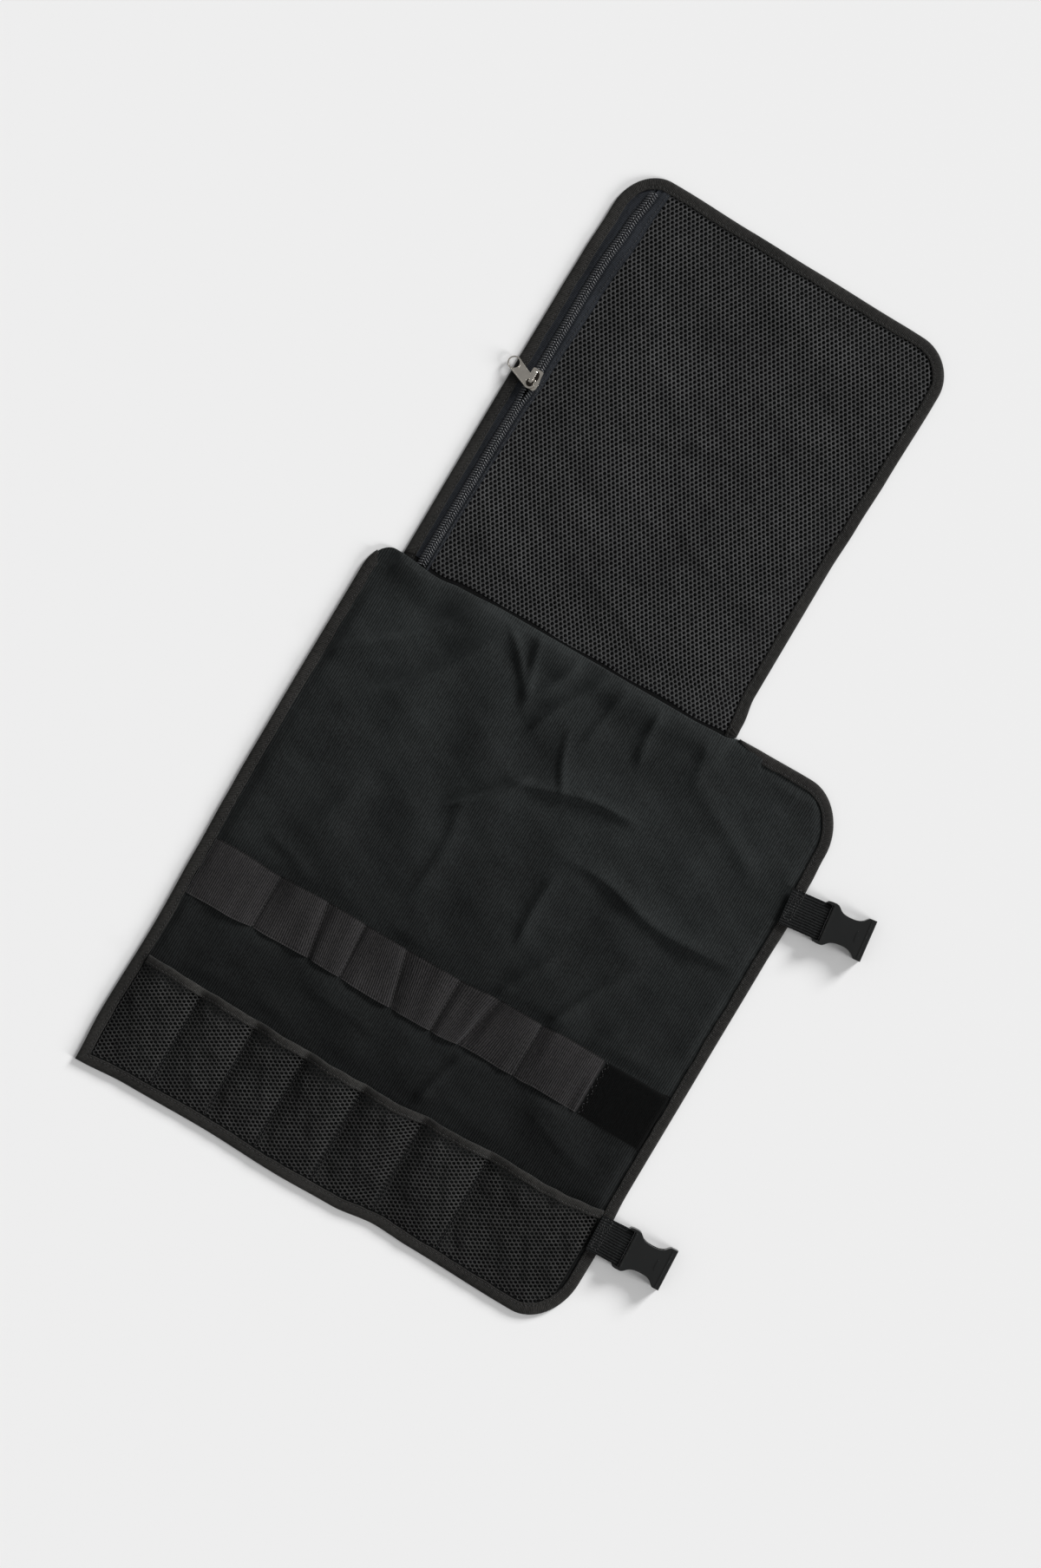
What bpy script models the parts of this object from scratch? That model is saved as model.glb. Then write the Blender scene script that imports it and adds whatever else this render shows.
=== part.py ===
"""Knife roll laid open on its back, inside face up.

A wide cloth panel carries an elastic band, a hook-and-loop patch and a row of mesh pockets. A flap
with a zipped mesh pocket is sewn under the panel's top edge, and two webbing straps hold buckles.
Metres, +Z up, +Y from the pockets to the flap. The origin is under the middle of the whole object.
"""
import math
from collections import namedtuple

import bmesh
import bpy
from mathutils import Matrix, Vector
from mathutils.geometry import delaunay_2d_cdt

# Main panel
PANEL_WIDTH = 0.462
PANEL_HEIGHT = 0.513
PANEL_THICKNESS = 0.003
PANEL_GRID = 0.027

# Flap above the panel
FLAP_WIDTH = 0.3183
FLAP_HEIGHT = 0.3703
FLAP_SET_IN = 0.0252
BACKING_THICKNESS = 0.0014
FACE_THICKNESS = 0.0007
FACE_RISE = 0.0035
FACE_GRID = 0.040
LAP = 0.012

# Clearances between pieces
GAP = 0.0003
LEG_CLEARANCE = 0.0005
SEWN_CLEARANCE = 0.0006

# Binding tape round the edges
BINDING_WIDTH = 0.0097
BINDING_WALL = 0.0008
BINDING_START = 0.004

# Elastic band and hook-and-loop patch
BAND_UP = 0.1962
BAND_WIDTH = 0.0513
BAND_THICKNESS = 0.0015
BAND_RISE = 0.006
PATCH_WIDTH = 0.0640
PATCH_HEIGHT = 0.0520
PATCH_THICKNESS = 0.0016
SEAM_FLAT = 0.0016

# Mesh pockets
POCKET_UP = 0.1037
POCKET_RISE = 0.0075
MESH_THICKNESS = 0.0007
MOUTH_BINDING_WIDTH = 0.0078
MOUTH_BINDING_WALL = 0.0006

# Zip on the flap
CHAIN_SPLIT = 0.0022
OPENING_START = 0.004
OPENING_RISE = 0.007
OPENING_END = 0.024
OPENING_FALL = 0.012
COIL_WIDTH = 0.0036
COIL_HEIGHT = 0.0016
COIL_SPACE = 0.0003
COIL_END = 0.005
TAPE_THICKNESS = FACE_THICKNESS
TAPE_TOP_END = 0.008
TAPE_STEP = 0.005
SLIDER_UP = 0.1755
SLIDER_LENGTH = 0.018
SLIDER_HALF_WIDTH = 0.006
SLIDER_PLATE = 0.0008
SLIDER_FLANGE = 0.0006
SLIDER_FOOT = 0.0006
POST_WIDTH = 0.0018
BAIL_WIDTH = 0.0032
BAIL_THICKNESS = 0.0009
BAIL_CLEAR = 0.0052
BAIL_OFFSET = 0.0013
BAIL_LEG_DOWN = 0.0044
BAIL_LEG_UP = 0.0070
BAIL_TURN = 0.0022

# Zip pull
PULL_THICKNESS = 0.0012
PULL_EYE_HOLE = 0.0034
PULL_EYE_RIM = 0.0051
PULL_END_HOLE = 0.0046
PULL_END_RIM = 0.0058
PULL_CENTRES = 0.0216
PULL_YAW = math.radians(156.9)
PULL_DROOP = math.radians(9.3)

# Straps and buckles
WEBBING_WIDTH = 0.0319
WEBBING_THICKNESS = 0.0014
STRAP_SEWN = 0.008
BUCKLE_LENGTH = 0.0452
BUCKLE_HALF_WIDTH = 0.0186
BUCKLE_HEIGHT = 0.011
BUCKLE_WALL = 0.0022
BUCKLE_EDGE = 0.0006
CUT_PAST = 0.005
BAR_WIDTH = 0.0039
BAR_HEIGHT = 0.0034
SLOT_WIDTH = 0.0055
SOCKET_DEPTH = 0.0300
SOCKET_HALF_WIDTH = 0.0142

# Rounded corners, one row each: how far the curve reaches across and up, and its steps
Corner = namedtuple("Corner", "across up steps")
SQUARE = Corner(0.0, 0.0, 0)
PANEL_CORNERS = (SQUARE, Corner(0.038, 0.048, 6), Corner(0.043, 0.050, 6), Corner(0.018, 0.026, 4))
FLAP_CORNERS = (SQUARE, SQUARE, Corner(0.036, 0.036, 6), Corner(0.033, 0.037, 6))
TONGUE_LEFT = Corner(0.016, 0.017, 1)
TONGUE_RIGHT = Corner(0.034, 0.017, 1)

# Shares of the flap's height that its side edges have points at
FLAP_RIGHT_PLACES = (0.025, 0.05, 0.08, 0.11, 0.25, 0.43, 0.55, 0.68, 0.80)
FLAP_LEFT_PLACES = (0.85, 0.77, 0.68, 0.60, 0.50, 0.38, 0.25, 0.10)

# How far each edge wanders inwards: share of the edge, and depth as a share of the size it eats into
Dent = namedtuple("Dent", "share depth")
PANEL_LEFT_DENTS = (
    Dent(0.00, 0.0084),
    Dent(0.09, 0.0041),
    Dent(0.26, 0.0074),
    Dent(0.40, 0.0041),
    Dent(0.50, 0.0015),
    Dent(0.57, 0.0000),
    Dent(0.70, 0.0000),
    Dent(0.93, 0.0015),
    Dent(1.00, 0.0022),
)
PANEL_RIGHT_DENTS = (
    Dent(0.00, 0.0013),
    Dent(0.15, 0.0000),
    Dent(0.26, 0.0074),
    Dent(0.50, 0.0063),
    Dent(0.70, 0.0052),
    Dent(0.78, 0.0032),
    Dent(0.85, 0.0074),
    Dent(0.90, 0.0104),
    Dent(1.00, 0.0126),
)
PANEL_BOTTOM_DENTS = (
    Dent(0.00, 0.0000),
    Dent(0.11, 0.0057),
    Dent(0.27, 0.0076),
    Dent(0.43, 0.0037),
    Dent(0.54, 0.0057),
    Dent(0.63, 0.0150),
    Dent(0.70, 0.0123),
    Dent(0.90, 0.0086),
    Dent(1.00, 0.0086),
)
PANEL_TOP_DENTS = (
    Dent(0.00, 0.0185),
    Dent(0.05, 0.0181),
    Dent(0.13, 0.0242),
    Dent(0.18, 0.0193),
    Dent(0.27, 0.0148),
    Dent(0.50, 0.0129),
    Dent(0.65, 0.0121),
    Dent(0.72, 0.0092),
    Dent(0.75, 0.0019),
    Dent(0.80, 0.0010),
    Dent(0.89, 0.0000),
    Dent(1.00, 0.0000),
)
FLAP_LEFT_DENTS = (
    Dent(0.00, 0.0000),
    Dent(0.50, 0.0000),
    Dent(0.68, 0.0015),
    Dent(0.77, 0.0030),
    Dent(0.87, 0.0075),
    Dent(1.00, 0.0123),
)
FLAP_RIGHT_DENTS = (
    Dent(0.00, 0.0015),
    Dent(0.03, 0.0030),
    Dent(0.10, 0.0138),
    Dent(0.43, 0.0138),
    Dent(0.55, 0.0091),
    Dent(0.68, 0.0047),
    Dent(0.88, 0.0000),
    Dent(1.00, 0.0000),
)
FLAP_TOP_DENTS = (
    Dent(0.00, 0.0000),
    Dent(0.14, 0.0000),
    Dent(0.35, 0.0046),
    Dent(0.55, 0.0078),
    Dent(0.81, 0.0119),
    Dent(1.00, 0.0157),
)
MOUTH_CLIMB = (
    Dent(0.00, 0.0092),
    Dent(0.17, 0.0033),
    Dent(0.28, 0.0000),
    Dent(0.43, 0.0023),
    Dent(0.63, 0.0000),
    Dent(0.74, 0.0049),
    Dent(0.85, 0.0064),
    Dent(1.00, 0.0160),
)

# The zip's run up the flap: share of the flap's height, and distance in as a share of its width
CHAIN_LINE = (
    Dent(0.00, 0.0562),
    Dent(0.25, 0.0594),
    Dent(0.48, 0.0634),
    Dent(0.75, 0.0612),
    Dent(0.87, 0.0669),
    Dent(0.95, 0.0760),
    Dent(1.00, 0.0850),
)
MESH_LINE = (
    Dent(0.00, 0.0729),
    Dent(0.25, 0.0770),
    Dent(0.38, 0.0812),
    Dent(0.50, 0.0895),
    Dent(0.70, 0.0974),
    Dent(0.87, 0.1065),
    Dent(1.00, 0.1100),
)

# Sections sewn down at their ends: share of the run, share of the rise, and the lean of the right
# hand seam as a share of the band's width
Section = namedtuple("Section", "share rise lean")
BAND_SECTIONS = (
    Section(0.1705, 0.85, 0.00),
    Section(0.1318, 1.00, -0.19),
    Section(0.0891, 0.92, -0.05),
    Section(0.1189, 1.00, -0.25),
    Section(0.1189, 1.00, 0.00),
    Section(0.0840, 0.92, 0.24),
    Section(0.1240, 1.00, 0.00),
    Section(0.1628, 1.00, 0.00),
)
POCKET_SECTIONS = (
    Section(0.131, 0.90, 0.0),
    Section(0.120, 1.00, 0.0),
    Section(0.111, 0.95, 0.0),
    Section(0.124, 1.00, 0.0),
    Section(0.130, 0.95, 0.0),
    Section(0.141, 1.00, 0.0),
    Section(0.243, 1.00, 0.0),
)
ARCH_STEPS = 6
ARCH_POWER = 2.6
POCKET_ROWS = (0.0, 0.12, 0.30, 0.55, 0.80, 1.0)

# Folds of the panel's field: ends as shares of its width and height, half width as a share of its
# width, height as a share of its thickness
Fold = namedtuple("Fold", "x1 y1 x2 y2 width height")
FOLDS = (
    Fold(0.224, 0.955, 0.060, 0.815, 0.055, 1.1),
    Fold(0.318, 0.937, 0.151, 0.777, 0.050, 0.9),
    Fold(0.385, 0.960, 0.410, 0.850, 0.045, 0.8),
    Fold(0.475, 0.960, 0.430, 0.800, 0.045, 0.9),
    Fold(0.470, 0.740, 0.410, 0.590, 0.050, 1.0),
    Fold(0.632, 0.640, 0.880, 0.690, 0.060, 0.9),
    Fold(0.690, 0.590, 0.630, 0.480, 0.050, 0.8),
)

# Straps: height above the panel's foot, reach to the buckle's bar, and the buckle's lean
Strap = namedtuple("Strap", "name up reach lean")
STRAPS = (
    Strap("upper", 0.4148, 0.0213, math.radians(7.0)),
    Strap("lower", 0.0941, 0.0155, math.radians(3.0)),
)

# Half widths of a buckle: share of its length, share of its half width
Flank = namedtuple("Flank", "along half")
BUCKLE_FLANK = (
    Flank(0.000, 0.91),
    Flank(0.035, 0.97),
    Flank(0.100, 1.00),
    Flank(0.215, 1.00),
    Flank(0.260, 0.93),
    Flank(0.330, 0.76),
    Flank(0.430, 0.67),
    Flank(0.560, 0.65),
    Flank(0.680, 0.67),
    Flank(0.770, 0.76),
    Flank(0.820, 0.90),
    Flank(0.860, 0.98),
    Flank(1.000, 0.99),
)
SLIDER_FLANK = (
    Flank(0.00, 0.95),
    Flank(0.10, 1.00),
    Flank(0.44, 1.00),
    Flank(0.72, 0.86),
    Flank(1.00, 0.83),
)


def smooth(value):
    """Ease from 0 to 1."""
    value = min(max(value, 0.0), 1.0)
    return value * value * (3.0 - 2.0 * value)


def along(rows, share):
    """The depth at a share of an edge, eased between the rows of its table."""
    for before, after in zip(rows, rows[1:]):
        if share <= after.share:
            step = smooth((share - before.share) / (after.share - before.share))
            return before.depth + (after.depth - before.depth) * step
    return rows[-1].depth


def flank_at(rows, share):
    """The half width at a share of a length, straight between the rows of its table."""
    for before, after in zip(rows, rows[1:]):
        if share <= after.along:
            step = (share - before.along) / (after.along - before.along)
            return before.half + (after.half - before.half) * step
    return rows[-1].half


def buckle_side():
    """One side of the buckle's outline, from its near end to its mouth, with its bar at zero."""
    near = -BAR_WIDTH / 2
    return [(near + row.along * BUCKLE_LENGTH, row.half * BUCKLE_HALF_WIDTH) for row in BUCKLE_FLANK]


def strap_overhang(strap):
    """How far a strap and its buckle reach past the panel's widest point."""
    side = buckle_side()
    corners = side + [(x, -y) for x, y in side]
    far = max(x * math.cos(strap.lean) - y * math.sin(strap.lean) for x, y in corners)
    return far + strap.reach - PANEL_WIDTH * along(PANEL_RIGHT_DENTS, strap.up / PANEL_HEIGHT)


# Places worked out from the sizes above
LEFT = -(PANEL_WIDTH + max(strap_overhang(strap) for strap in STRAPS)) / 2
RIGHT = LEFT + PANEL_WIDTH
BOTTOM = -(PANEL_HEIGHT + FLAP_HEIGHT) / 2
SEAM = BOTTOM + PANEL_HEIGHT
FLAP_TOP = SEAM + FLAP_HEIGHT
FLAP_LEFT = LEFT + FLAP_SET_IN
FLAP_RIGHT = FLAP_LEFT + FLAP_WIDTH
HEM = BINDING_WALL + GAP
LEG_END = BINDING_WIDTH + GAP
FLAP_FOOT = SEAM - BINDING_WALL
FACE_LOW = BACKING_THICKNESS + GAP
ZIP_LIFT = SLIDER_FOOT + GAP
LAP_STEP = FACE_LOW + FACE_THICKNESS + GAP
PANEL_BINDING_HEIGHT = PANEL_THICKNESS + GAP + BINDING_WALL
FLAP_BINDING_HEIGHT = LAP_STEP + BINDING_WALL
SEAT = PANEL_THICKNESS + GAP
PANEL_BOX = (LEFT, RIGHT, BOTTOM, SEAM)
FLAP_BOX = (FLAP_LEFT, FLAP_RIGHT, FLAP_FOOT, FLAP_TOP)
SIDE_SHARE = 0.22
STEP_OUT = 0.008
STEP_IN = 0.003
STEP_RIGHT_IN = 0.009
STEP_RIGHT_OUT = 0.002
STEP_RUN = 0.020
STEP_FLAT = LAP + 0.002


def on_panel(x, y):
    """Where a point of the straight panel lies on the real one, whose edges wander."""
    across = min(max((x - LEFT) / PANEL_WIDTH, 0.0), 1.0)
    up = min(max((y - BOTTOM) / PANEL_HEIGHT, 0.0), 1.0)
    by_left = smooth(1 - across / SIDE_SHARE)
    by_right = smooth((across - 1) / SIDE_SHARE + 1)
    inwards_x = along(PANEL_LEFT_DENTS, up) * by_left - along(PANEL_RIGHT_DENTS, up) * by_right
    inwards_y = along(PANEL_BOTTOM_DENTS, across) * (1 - up) - along(PANEL_TOP_DENTS, across) * up
    return x + PANEL_WIDTH * inwards_x, y + PANEL_HEIGHT * inwards_y


def on_flap(x, y):
    """Where a point of the straight flap lies on the real one. Its foot follows the panel's edge."""
    across = min(max((x - FLAP_LEFT) / FLAP_WIDTH, 0.0), 1.0)
    up = min(max((y - SEAM) / FLAP_HEIGHT, 0.0), 1.0)
    inwards_x = along(FLAP_LEFT_DENTS, up) * (1 - across) - along(FLAP_RIGHT_DENTS, up) * across
    foot = PANEL_HEIGHT * along(PANEL_TOP_DENTS, (x - LEFT) / PANEL_WIDTH)
    head = FLAP_HEIGHT * along(FLAP_TOP_DENTS, across)
    return x + FLAP_WIDTH * inwards_x, y - foot * (1 - up) - head * up


def material(name, colour, roughness, metallic=0.0):
    """A plain Principled material."""
    made = bpy.data.materials.new(name)
    made.use_nodes = True
    shader = made.node_tree.nodes["Principled BSDF"]
    shader.inputs["Base Color"].default_value = (*colour, 1.0)
    shader.inputs["Roughness"].default_value = roughness
    shader.inputs["Metallic"].default_value = metallic
    made.diffuse_color = (*colour, 1.0)
    return made


def add_body(name, points, faces, finish):
    """An object from points and faces, with its faces turned outwards."""
    mesh = bpy.data.meshes.new(name)
    mesh.from_pydata([tuple(point) for point in points], [], faces)
    shape = bmesh.new()
    shape.from_mesh(mesh)
    bmesh.ops.recalc_face_normals(shape, faces=shape.faces)
    shape.to_mesh(mesh)
    shape.free()
    mesh.materials.append(finish)
    body = bpy.data.objects.new(name, mesh)
    bpy.context.scene.collection.objects.link(body)
    return body


def slab(name, columns, rows, low, high, finish):
    """A sheet with a lower and an upper face, each read at a column and a row."""
    points = [low(c, r) for c in columns for r in rows] + [high(c, r) for c in columns for r in rows]
    wide, tall = len(columns), len(rows)
    upper = wide * tall
    faces = []
    for i in range(wide - 1):
        for j in range(tall - 1):
            quad = (i * tall + j, (i + 1) * tall + j, (i + 1) * tall + j + 1, i * tall + j + 1)
            faces.append(tuple(upper + corner for corner in quad))
            faces.append(quad[::-1])
    rim = [i * tall for i in range(wide)]
    rim += [(wide - 1) * tall + j for j in range(1, tall)]
    rim += [i * tall + tall - 1 for i in range(wide - 2, -1, -1)]
    rim += list(range(tall - 2, 0, -1))
    for start, end in zip(rim, rim[1:] + rim[:1]):
        faces.append((start, end, upper + end, upper + start))
    return add_body(name, points, faces, finish)


def swept(name, rings, finish):
    """A bar through rings of points, closed at both ends."""
    count = len(rings[0])
    points = [point for ring in rings for point in ring]
    faces = [tuple(range(count)), tuple(range(len(points) - 1, len(points) - 1 - count, -1))]
    for i in range(len(rings) - 1):
        for j in range(count):
            k = (j + 1) % count
            faces.append((i * count + j, i * count + k, (i + 1) * count + k, (i + 1) * count + j))
    return add_body(name, points, faces, finish)


def corner_run(box, corner, place, inset):
    """The points round one corner: 0 bottom left, 1 bottom right, 2 top right, 3 top left."""
    left, right, bottom, top = box
    side = -1 if place in (0, 3) else 1
    rise = -1 if place in (0, 1) else 1
    edge_x = left if side < 0 else right
    edge_y = bottom if rise < 0 else top
    if corner.steps == 0:
        return [(edge_x - side * inset, edge_y - rise * inset)]
    centre_x = edge_x - side * corner.across
    centre_y = edge_y - rise * corner.up
    least = 0.002
    reach_x = max(corner.across - inset, least)
    reach_y = max(corner.up - inset, least)
    points = []
    for step in range(corner.steps + 1):
        angle = math.radians(180 + 90 * place + 90 * step / corner.steps)
        points.append((centre_x + reach_x * math.cos(angle), centre_y + reach_y * math.sin(angle)))
    return points


def spread(start, end, count):
    """Even places between two ends, without the ends."""
    return [start + (end - start) * step / count for step in range(1, count)]


def outline(box, corners, inset, edges):
    """Eight runs, anticlockwise: a corner and then an edge, from the bottom left corner on.

    The edges give the places of their points at no inset: x for the bottom and top, y for the
    sides. An inset keeps their shares of the way between the corners."""
    outer = [corner_run(box, corner, place, 0.0) for place, corner in enumerate(corners)]
    turned = [corner_run(box, corner, place, inset) for place, corner in enumerate(corners)]
    runs = []
    for place in range(4):
        axis = place % 2
        after = (place + 1) % 4
        whole = outer[after][0][axis] - outer[place][-1][axis]
        start, end = turned[place][-1], turned[after][0]
        edge = []
        for mark in edges[place]:
            share = (mark - outer[place][-1][axis]) / whole
            edge.append((start[0] + (end[0] - start[0]) * share, start[1] + (end[1] - start[1]) * share))
        runs.append(turned[place])
        runs.append(edge)
    return runs


def inside(loop, x, y):
    """Whether a point lies inside a loop."""
    crossings = 0
    for (x1, y1), (x2, y2) in zip(loop, loop[1:] + loop[:1]):
        if (y1 > y) != (y2 > y) and x < x1 + (y - y1) / (y2 - y1) * (x2 - x1):
            crossings += 1
    return crossings % 2 == 1


def grid_inside(loop, spacing):
    """Even points inside a loop, clear of its edge."""
    xs = [x for x, y in loop]
    ys = [y for x, y in loop]
    wide = max(2, round((max(xs) - min(xs)) / spacing))
    tall = max(2, round((max(ys) - min(ys)) / spacing))
    found = []
    for i in range(1, wide):
        for j in range(1, tall):
            x = min(xs) + (max(xs) - min(xs)) * i / wide
            y = min(ys) + (max(ys) - min(ys)) * j / tall
            clear = min(math.hypot(x - px, y - py) for px, py in loop)
            if inside(loop, x, y) and clear > spacing * 0.45:
                found.append((x, y))
    return found


def ring_sheet(name, loops, spacing, under, over, warp, finish):
    """A sheet made of loops, outermost first, whose middle is filled with triangles on a grid."""
    count = len(loops[0])
    flat = [point for loop in loops for point in loop]
    inner = len(flat) - count
    middle = grid_inside(loops[-1], spacing) if spacing else []
    flat += middle
    faces = []
    for i in range(len(loops) - 1):
        for j in range(count):
            k = (j + 1) % count
            faces.append((i * count + j, i * count + k, (i + 1) * count + k, (i + 1) * count + j))
    if middle:
        seeds = [Vector(point) for point in flat[inner:]]
        ties = [(j, (j + 1) % count) for j in range(count)]
        filled = delaunay_2d_cdt(seeds, ties, [], 1, 1e-7)
        source = [group[0] for group in filled[3]]
        faces += [tuple(inner + source[corner] for corner in face) for face in filled[2]]
    else:
        faces.append(tuple(range(inner, inner + count)))
    lower = [(*warp(x, y), under(x, y, depth)) for x, y, depth in with_depth(flat, count)]
    upper = [(*warp(x, y), over(x, y, depth)) for x, y, depth in with_depth(flat, count)]
    shift = len(flat)
    body = [tuple(shift + corner for corner in face) for face in faces]
    body += [face[::-1] for face in faces]
    body += [(j, (j + 1) % count, shift + (j + 1) % count, shift + j) for j in range(count)]
    return add_body(name, lower + upper, body, finish)


def with_depth(points, count):
    """Each point with the number of its loop, counted inwards."""
    return [(x, y, index // count) for index, (x, y) in enumerate(points)]


def channel(name, runs_at, height, warp, finish):
    """A tape folded over an edge: a U whose legs reach in over and under the cloth."""
    profile = (
        (0.0, 0.0),
        (0.0, height),
        (BINDING_WIDTH, height),
        (BINDING_WIDTH, height - BINDING_WALL),
        (BINDING_WALL, height - BINDING_WALL),
        (BINDING_WALL, BINDING_WALL),
        (BINDING_WIDTH, BINDING_WALL),
        (BINDING_WIDTH, 0.0),
    )
    paths = {inset: runs_at(inset) for inset, _ in profile}
    length = len(paths[0.0])
    rings = [[(*warp(*paths[inset][i]), z) for inset, z in profile] for i in range(length)]
    return swept(name, rings, finish)


def fold_height(x, y):
    """Height of the soft folds in the panel's field, between the band and the top edge."""
    across = (x - LEFT) / PANEL_WIDTH
    up = (y - BOTTOM) / PANEL_HEIGHT
    field_low = smooth((y - (BOTTOM + BAND_UP + BAND_WIDTH / 2 + 0.008)) / 0.015)
    field_high = smooth((SEAM - STEP_FLAT - y) / 0.015)
    field_side = smooth((x - LEFT - 0.020) / 0.015) * smooth((RIGHT - 0.020 - x) / 0.015)
    height = 0.0
    ratio = PANEL_HEIGHT / PANEL_WIDTH
    for fold in FOLDS:
        run = Vector((fold.x2 - fold.x1, (fold.y2 - fold.y1) * ratio))
        reach = Vector((across - fold.x1, (up - fold.y1) * ratio))
        share = min(max(reach.dot(run) / run.dot(run), 0.0), 1.0)
        away = (reach - run * share).length / fold.width
        ends = smooth(4 * min(share + 0.15, 1.15 - share))
        height = max(height, fold.height * smooth(1.0 - away) * ends)
    return PANEL_THICKNESS * height * field_low * field_high * field_side


def panel_rise(x, y):
    """How far the panel's underside is lifted: over the flap's foot, and in its folds."""
    from_left = smooth((x - FLAP_LEFT + STEP_OUT) / (STEP_OUT + STEP_IN))
    from_right = smooth((FLAP_RIGHT + STEP_RIGHT_OUT - x) / (STEP_RIGHT_OUT + STEP_RIGHT_IN))
    downwards = smooth((y - (SEAM - STEP_FLAT - STEP_RUN)) / STEP_RUN)
    return LAP_STEP * from_left * from_right * downwards + fold_height(x, y)


def make_panel(cloth):
    """The main panel: a padded sheet, thinned where the binding grips it and lifted over the flap."""
    insets = (HEM, LEG_END + LEG_CLEARANCE, STEP_FLAT, STEP_FLAT + STEP_RUN / 2, STEP_FLAT + STEP_RUN)
    loops = [sum(panel_runs(inset), []) for inset in insets]
    held = 2

    def under(x, y, depth):
        return max(HEM if depth < held else 0.0, panel_rise(x, y))

    def over(x, y, depth):
        return PANEL_THICKNESS + panel_rise(x, y)

    return ring_sheet("main_panel", loops, PANEL_GRID, under, over, on_panel, cloth)


def dent_places(rows, start, length, low, high):
    """Places on an edge at the rows of its table and half way between, inside its corners."""
    shares = []
    for before, after in zip(rows, rows[1:]):
        shares += [before.share, (before.share + after.share) / 2]
    places = [start + length * share for share in shares]
    clear = 0.006
    return [place for place in places if low + clear < place < high - clear]


def panel_top_places():
    """Points of the top edge from right to left, dense where the edge steps over the flap."""
    marks = [FLAP_RIGHT + BINDING_START, FLAP_RIGHT + STEP_RIGHT_OUT, FLAP_RIGHT - STEP_RIGHT_IN]
    start, end = FLAP_RIGHT - STEP_RIGHT_IN, FLAP_LEFT + STEP_IN
    marks += spread(start, end, 10)
    marks += [end, (FLAP_LEFT * 2 + STEP_IN - STEP_OUT) / 2]
    right_end = RIGHT - PANEL_CORNERS[2].across
    return [(marks[0] + right_end) / 2] + marks


def panel_runs(inset):
    """The panel's outline at an inset, in eight runs."""
    square, low_right, high_right, high_left = PANEL_CORNERS
    bottom = dent_places(PANEL_BOTTOM_DENTS, LEFT, PANEL_WIDTH, LEFT, RIGHT - low_right.across)
    right = dent_places(
        PANEL_RIGHT_DENTS, BOTTOM, PANEL_HEIGHT, BOTTOM + low_right.up, SEAM - high_right.up
    )
    left = dent_places(PANEL_LEFT_DENTS, BOTTOM, PANEL_HEIGHT, BOTTOM, SEAM - high_left.up)[::-1]
    return outline(PANEL_BOX, PANEL_CORNERS, inset, (bottom, right, panel_top_places(), left))


def flap_edges(bottom):
    """The places of points along the flap's edges, shared by all that follow them."""
    right = [SEAM + FLAP_HEIGHT * share for share in FLAP_RIGHT_PLACES]
    left = [SEAM + FLAP_HEIGHT * share for share in FLAP_LEFT_PLACES]
    top = spread(FLAP_RIGHT - FLAP_CORNERS[2].across, FLAP_LEFT + FLAP_CORNERS[3].across, 9)
    return bottom, right, top, left


def make_panel_binding(tape):
    """Binding from the top left corner round the foot to the top edge beside the flap."""
    def path(inset):
        runs = panel_runs(inset)
        start = runs[6][len(runs[6]) // 2:]
        return start + runs[7] + sum(runs[:5], []) + runs[5][:2]

    return channel("main_binding", path, PANEL_BINDING_HEIGHT, on_panel, tape)


def make_flap_binding(tape):
    """Binding up the flap's left side, over its top and down its right side."""
    def path(inset):
        runs = outline(FLAP_BOX, FLAP_CORNERS, inset, flap_edges([]))
        foot = [(FLAP_RIGHT - inset, FLAP_FOOT)]
        return foot + sum(runs[3:], []) + [(FLAP_LEFT + inset, FLAP_FOOT)]

    return channel("flap_binding", path, FLAP_BINDING_HEIGHT, on_flap, tape)


def flap_depth(x, y):
    """Distance in from the flap's sides and top, with its round corners."""
    depth = min(x - FLAP_LEFT, FLAP_RIGHT - x, FLAP_TOP - y)
    for corner, edge, side in ((FLAP_CORNERS[3], FLAP_LEFT, 1), (FLAP_CORNERS[2], FLAP_RIGHT, -1)):
        out_x = (edge + side * corner.across - x) * side / corner.across
        out_y = (y - (FLAP_TOP - corner.up)) / corner.up
        if out_x > 0 and out_y > 0:
            depth = min(depth, (1 - math.hypot(out_x, out_y)) * min(corner.across, corner.up))
    return depth


def face_lift(x, y):
    """How far the flap's face stands off its backing."""
    depth = flap_depth(x, y) - LEG_END
    foot = y - SEAM
    near = smooth(depth / 0.005) * smooth(foot / 0.008)
    far = smooth((depth - 0.018) / 0.050) * smooth(foot / 0.060)
    return ZIP_LIFT * near + (FACE_RISE - ZIP_LIFT) * far


def chain_x(y):
    """The zip's middle line on the straight flap."""
    return FLAP_LEFT + FLAP_WIDTH * along(CHAIN_LINE, (y - SEAM) / FLAP_HEIGHT)


def mesh_x(y):
    """The left edge of the flap's mesh on the straight flap."""
    return FLAP_LEFT + FLAP_WIDTH * along(MESH_LINE, (y - SEAM) / FLAP_HEIGHT)


def chain_split(y):
    """The space between the zip's rows: shut above the slider, forced apart below it."""
    below = SEAM + SLIDER_UP - y
    opened = smooth((below + OPENING_START) / OPENING_RISE)
    opened *= smooth((OPENING_END - below) / OPENING_FALL)
    return COIL_SPACE + (CHAIN_SPLIT - COIL_SPACE) * opened


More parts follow.
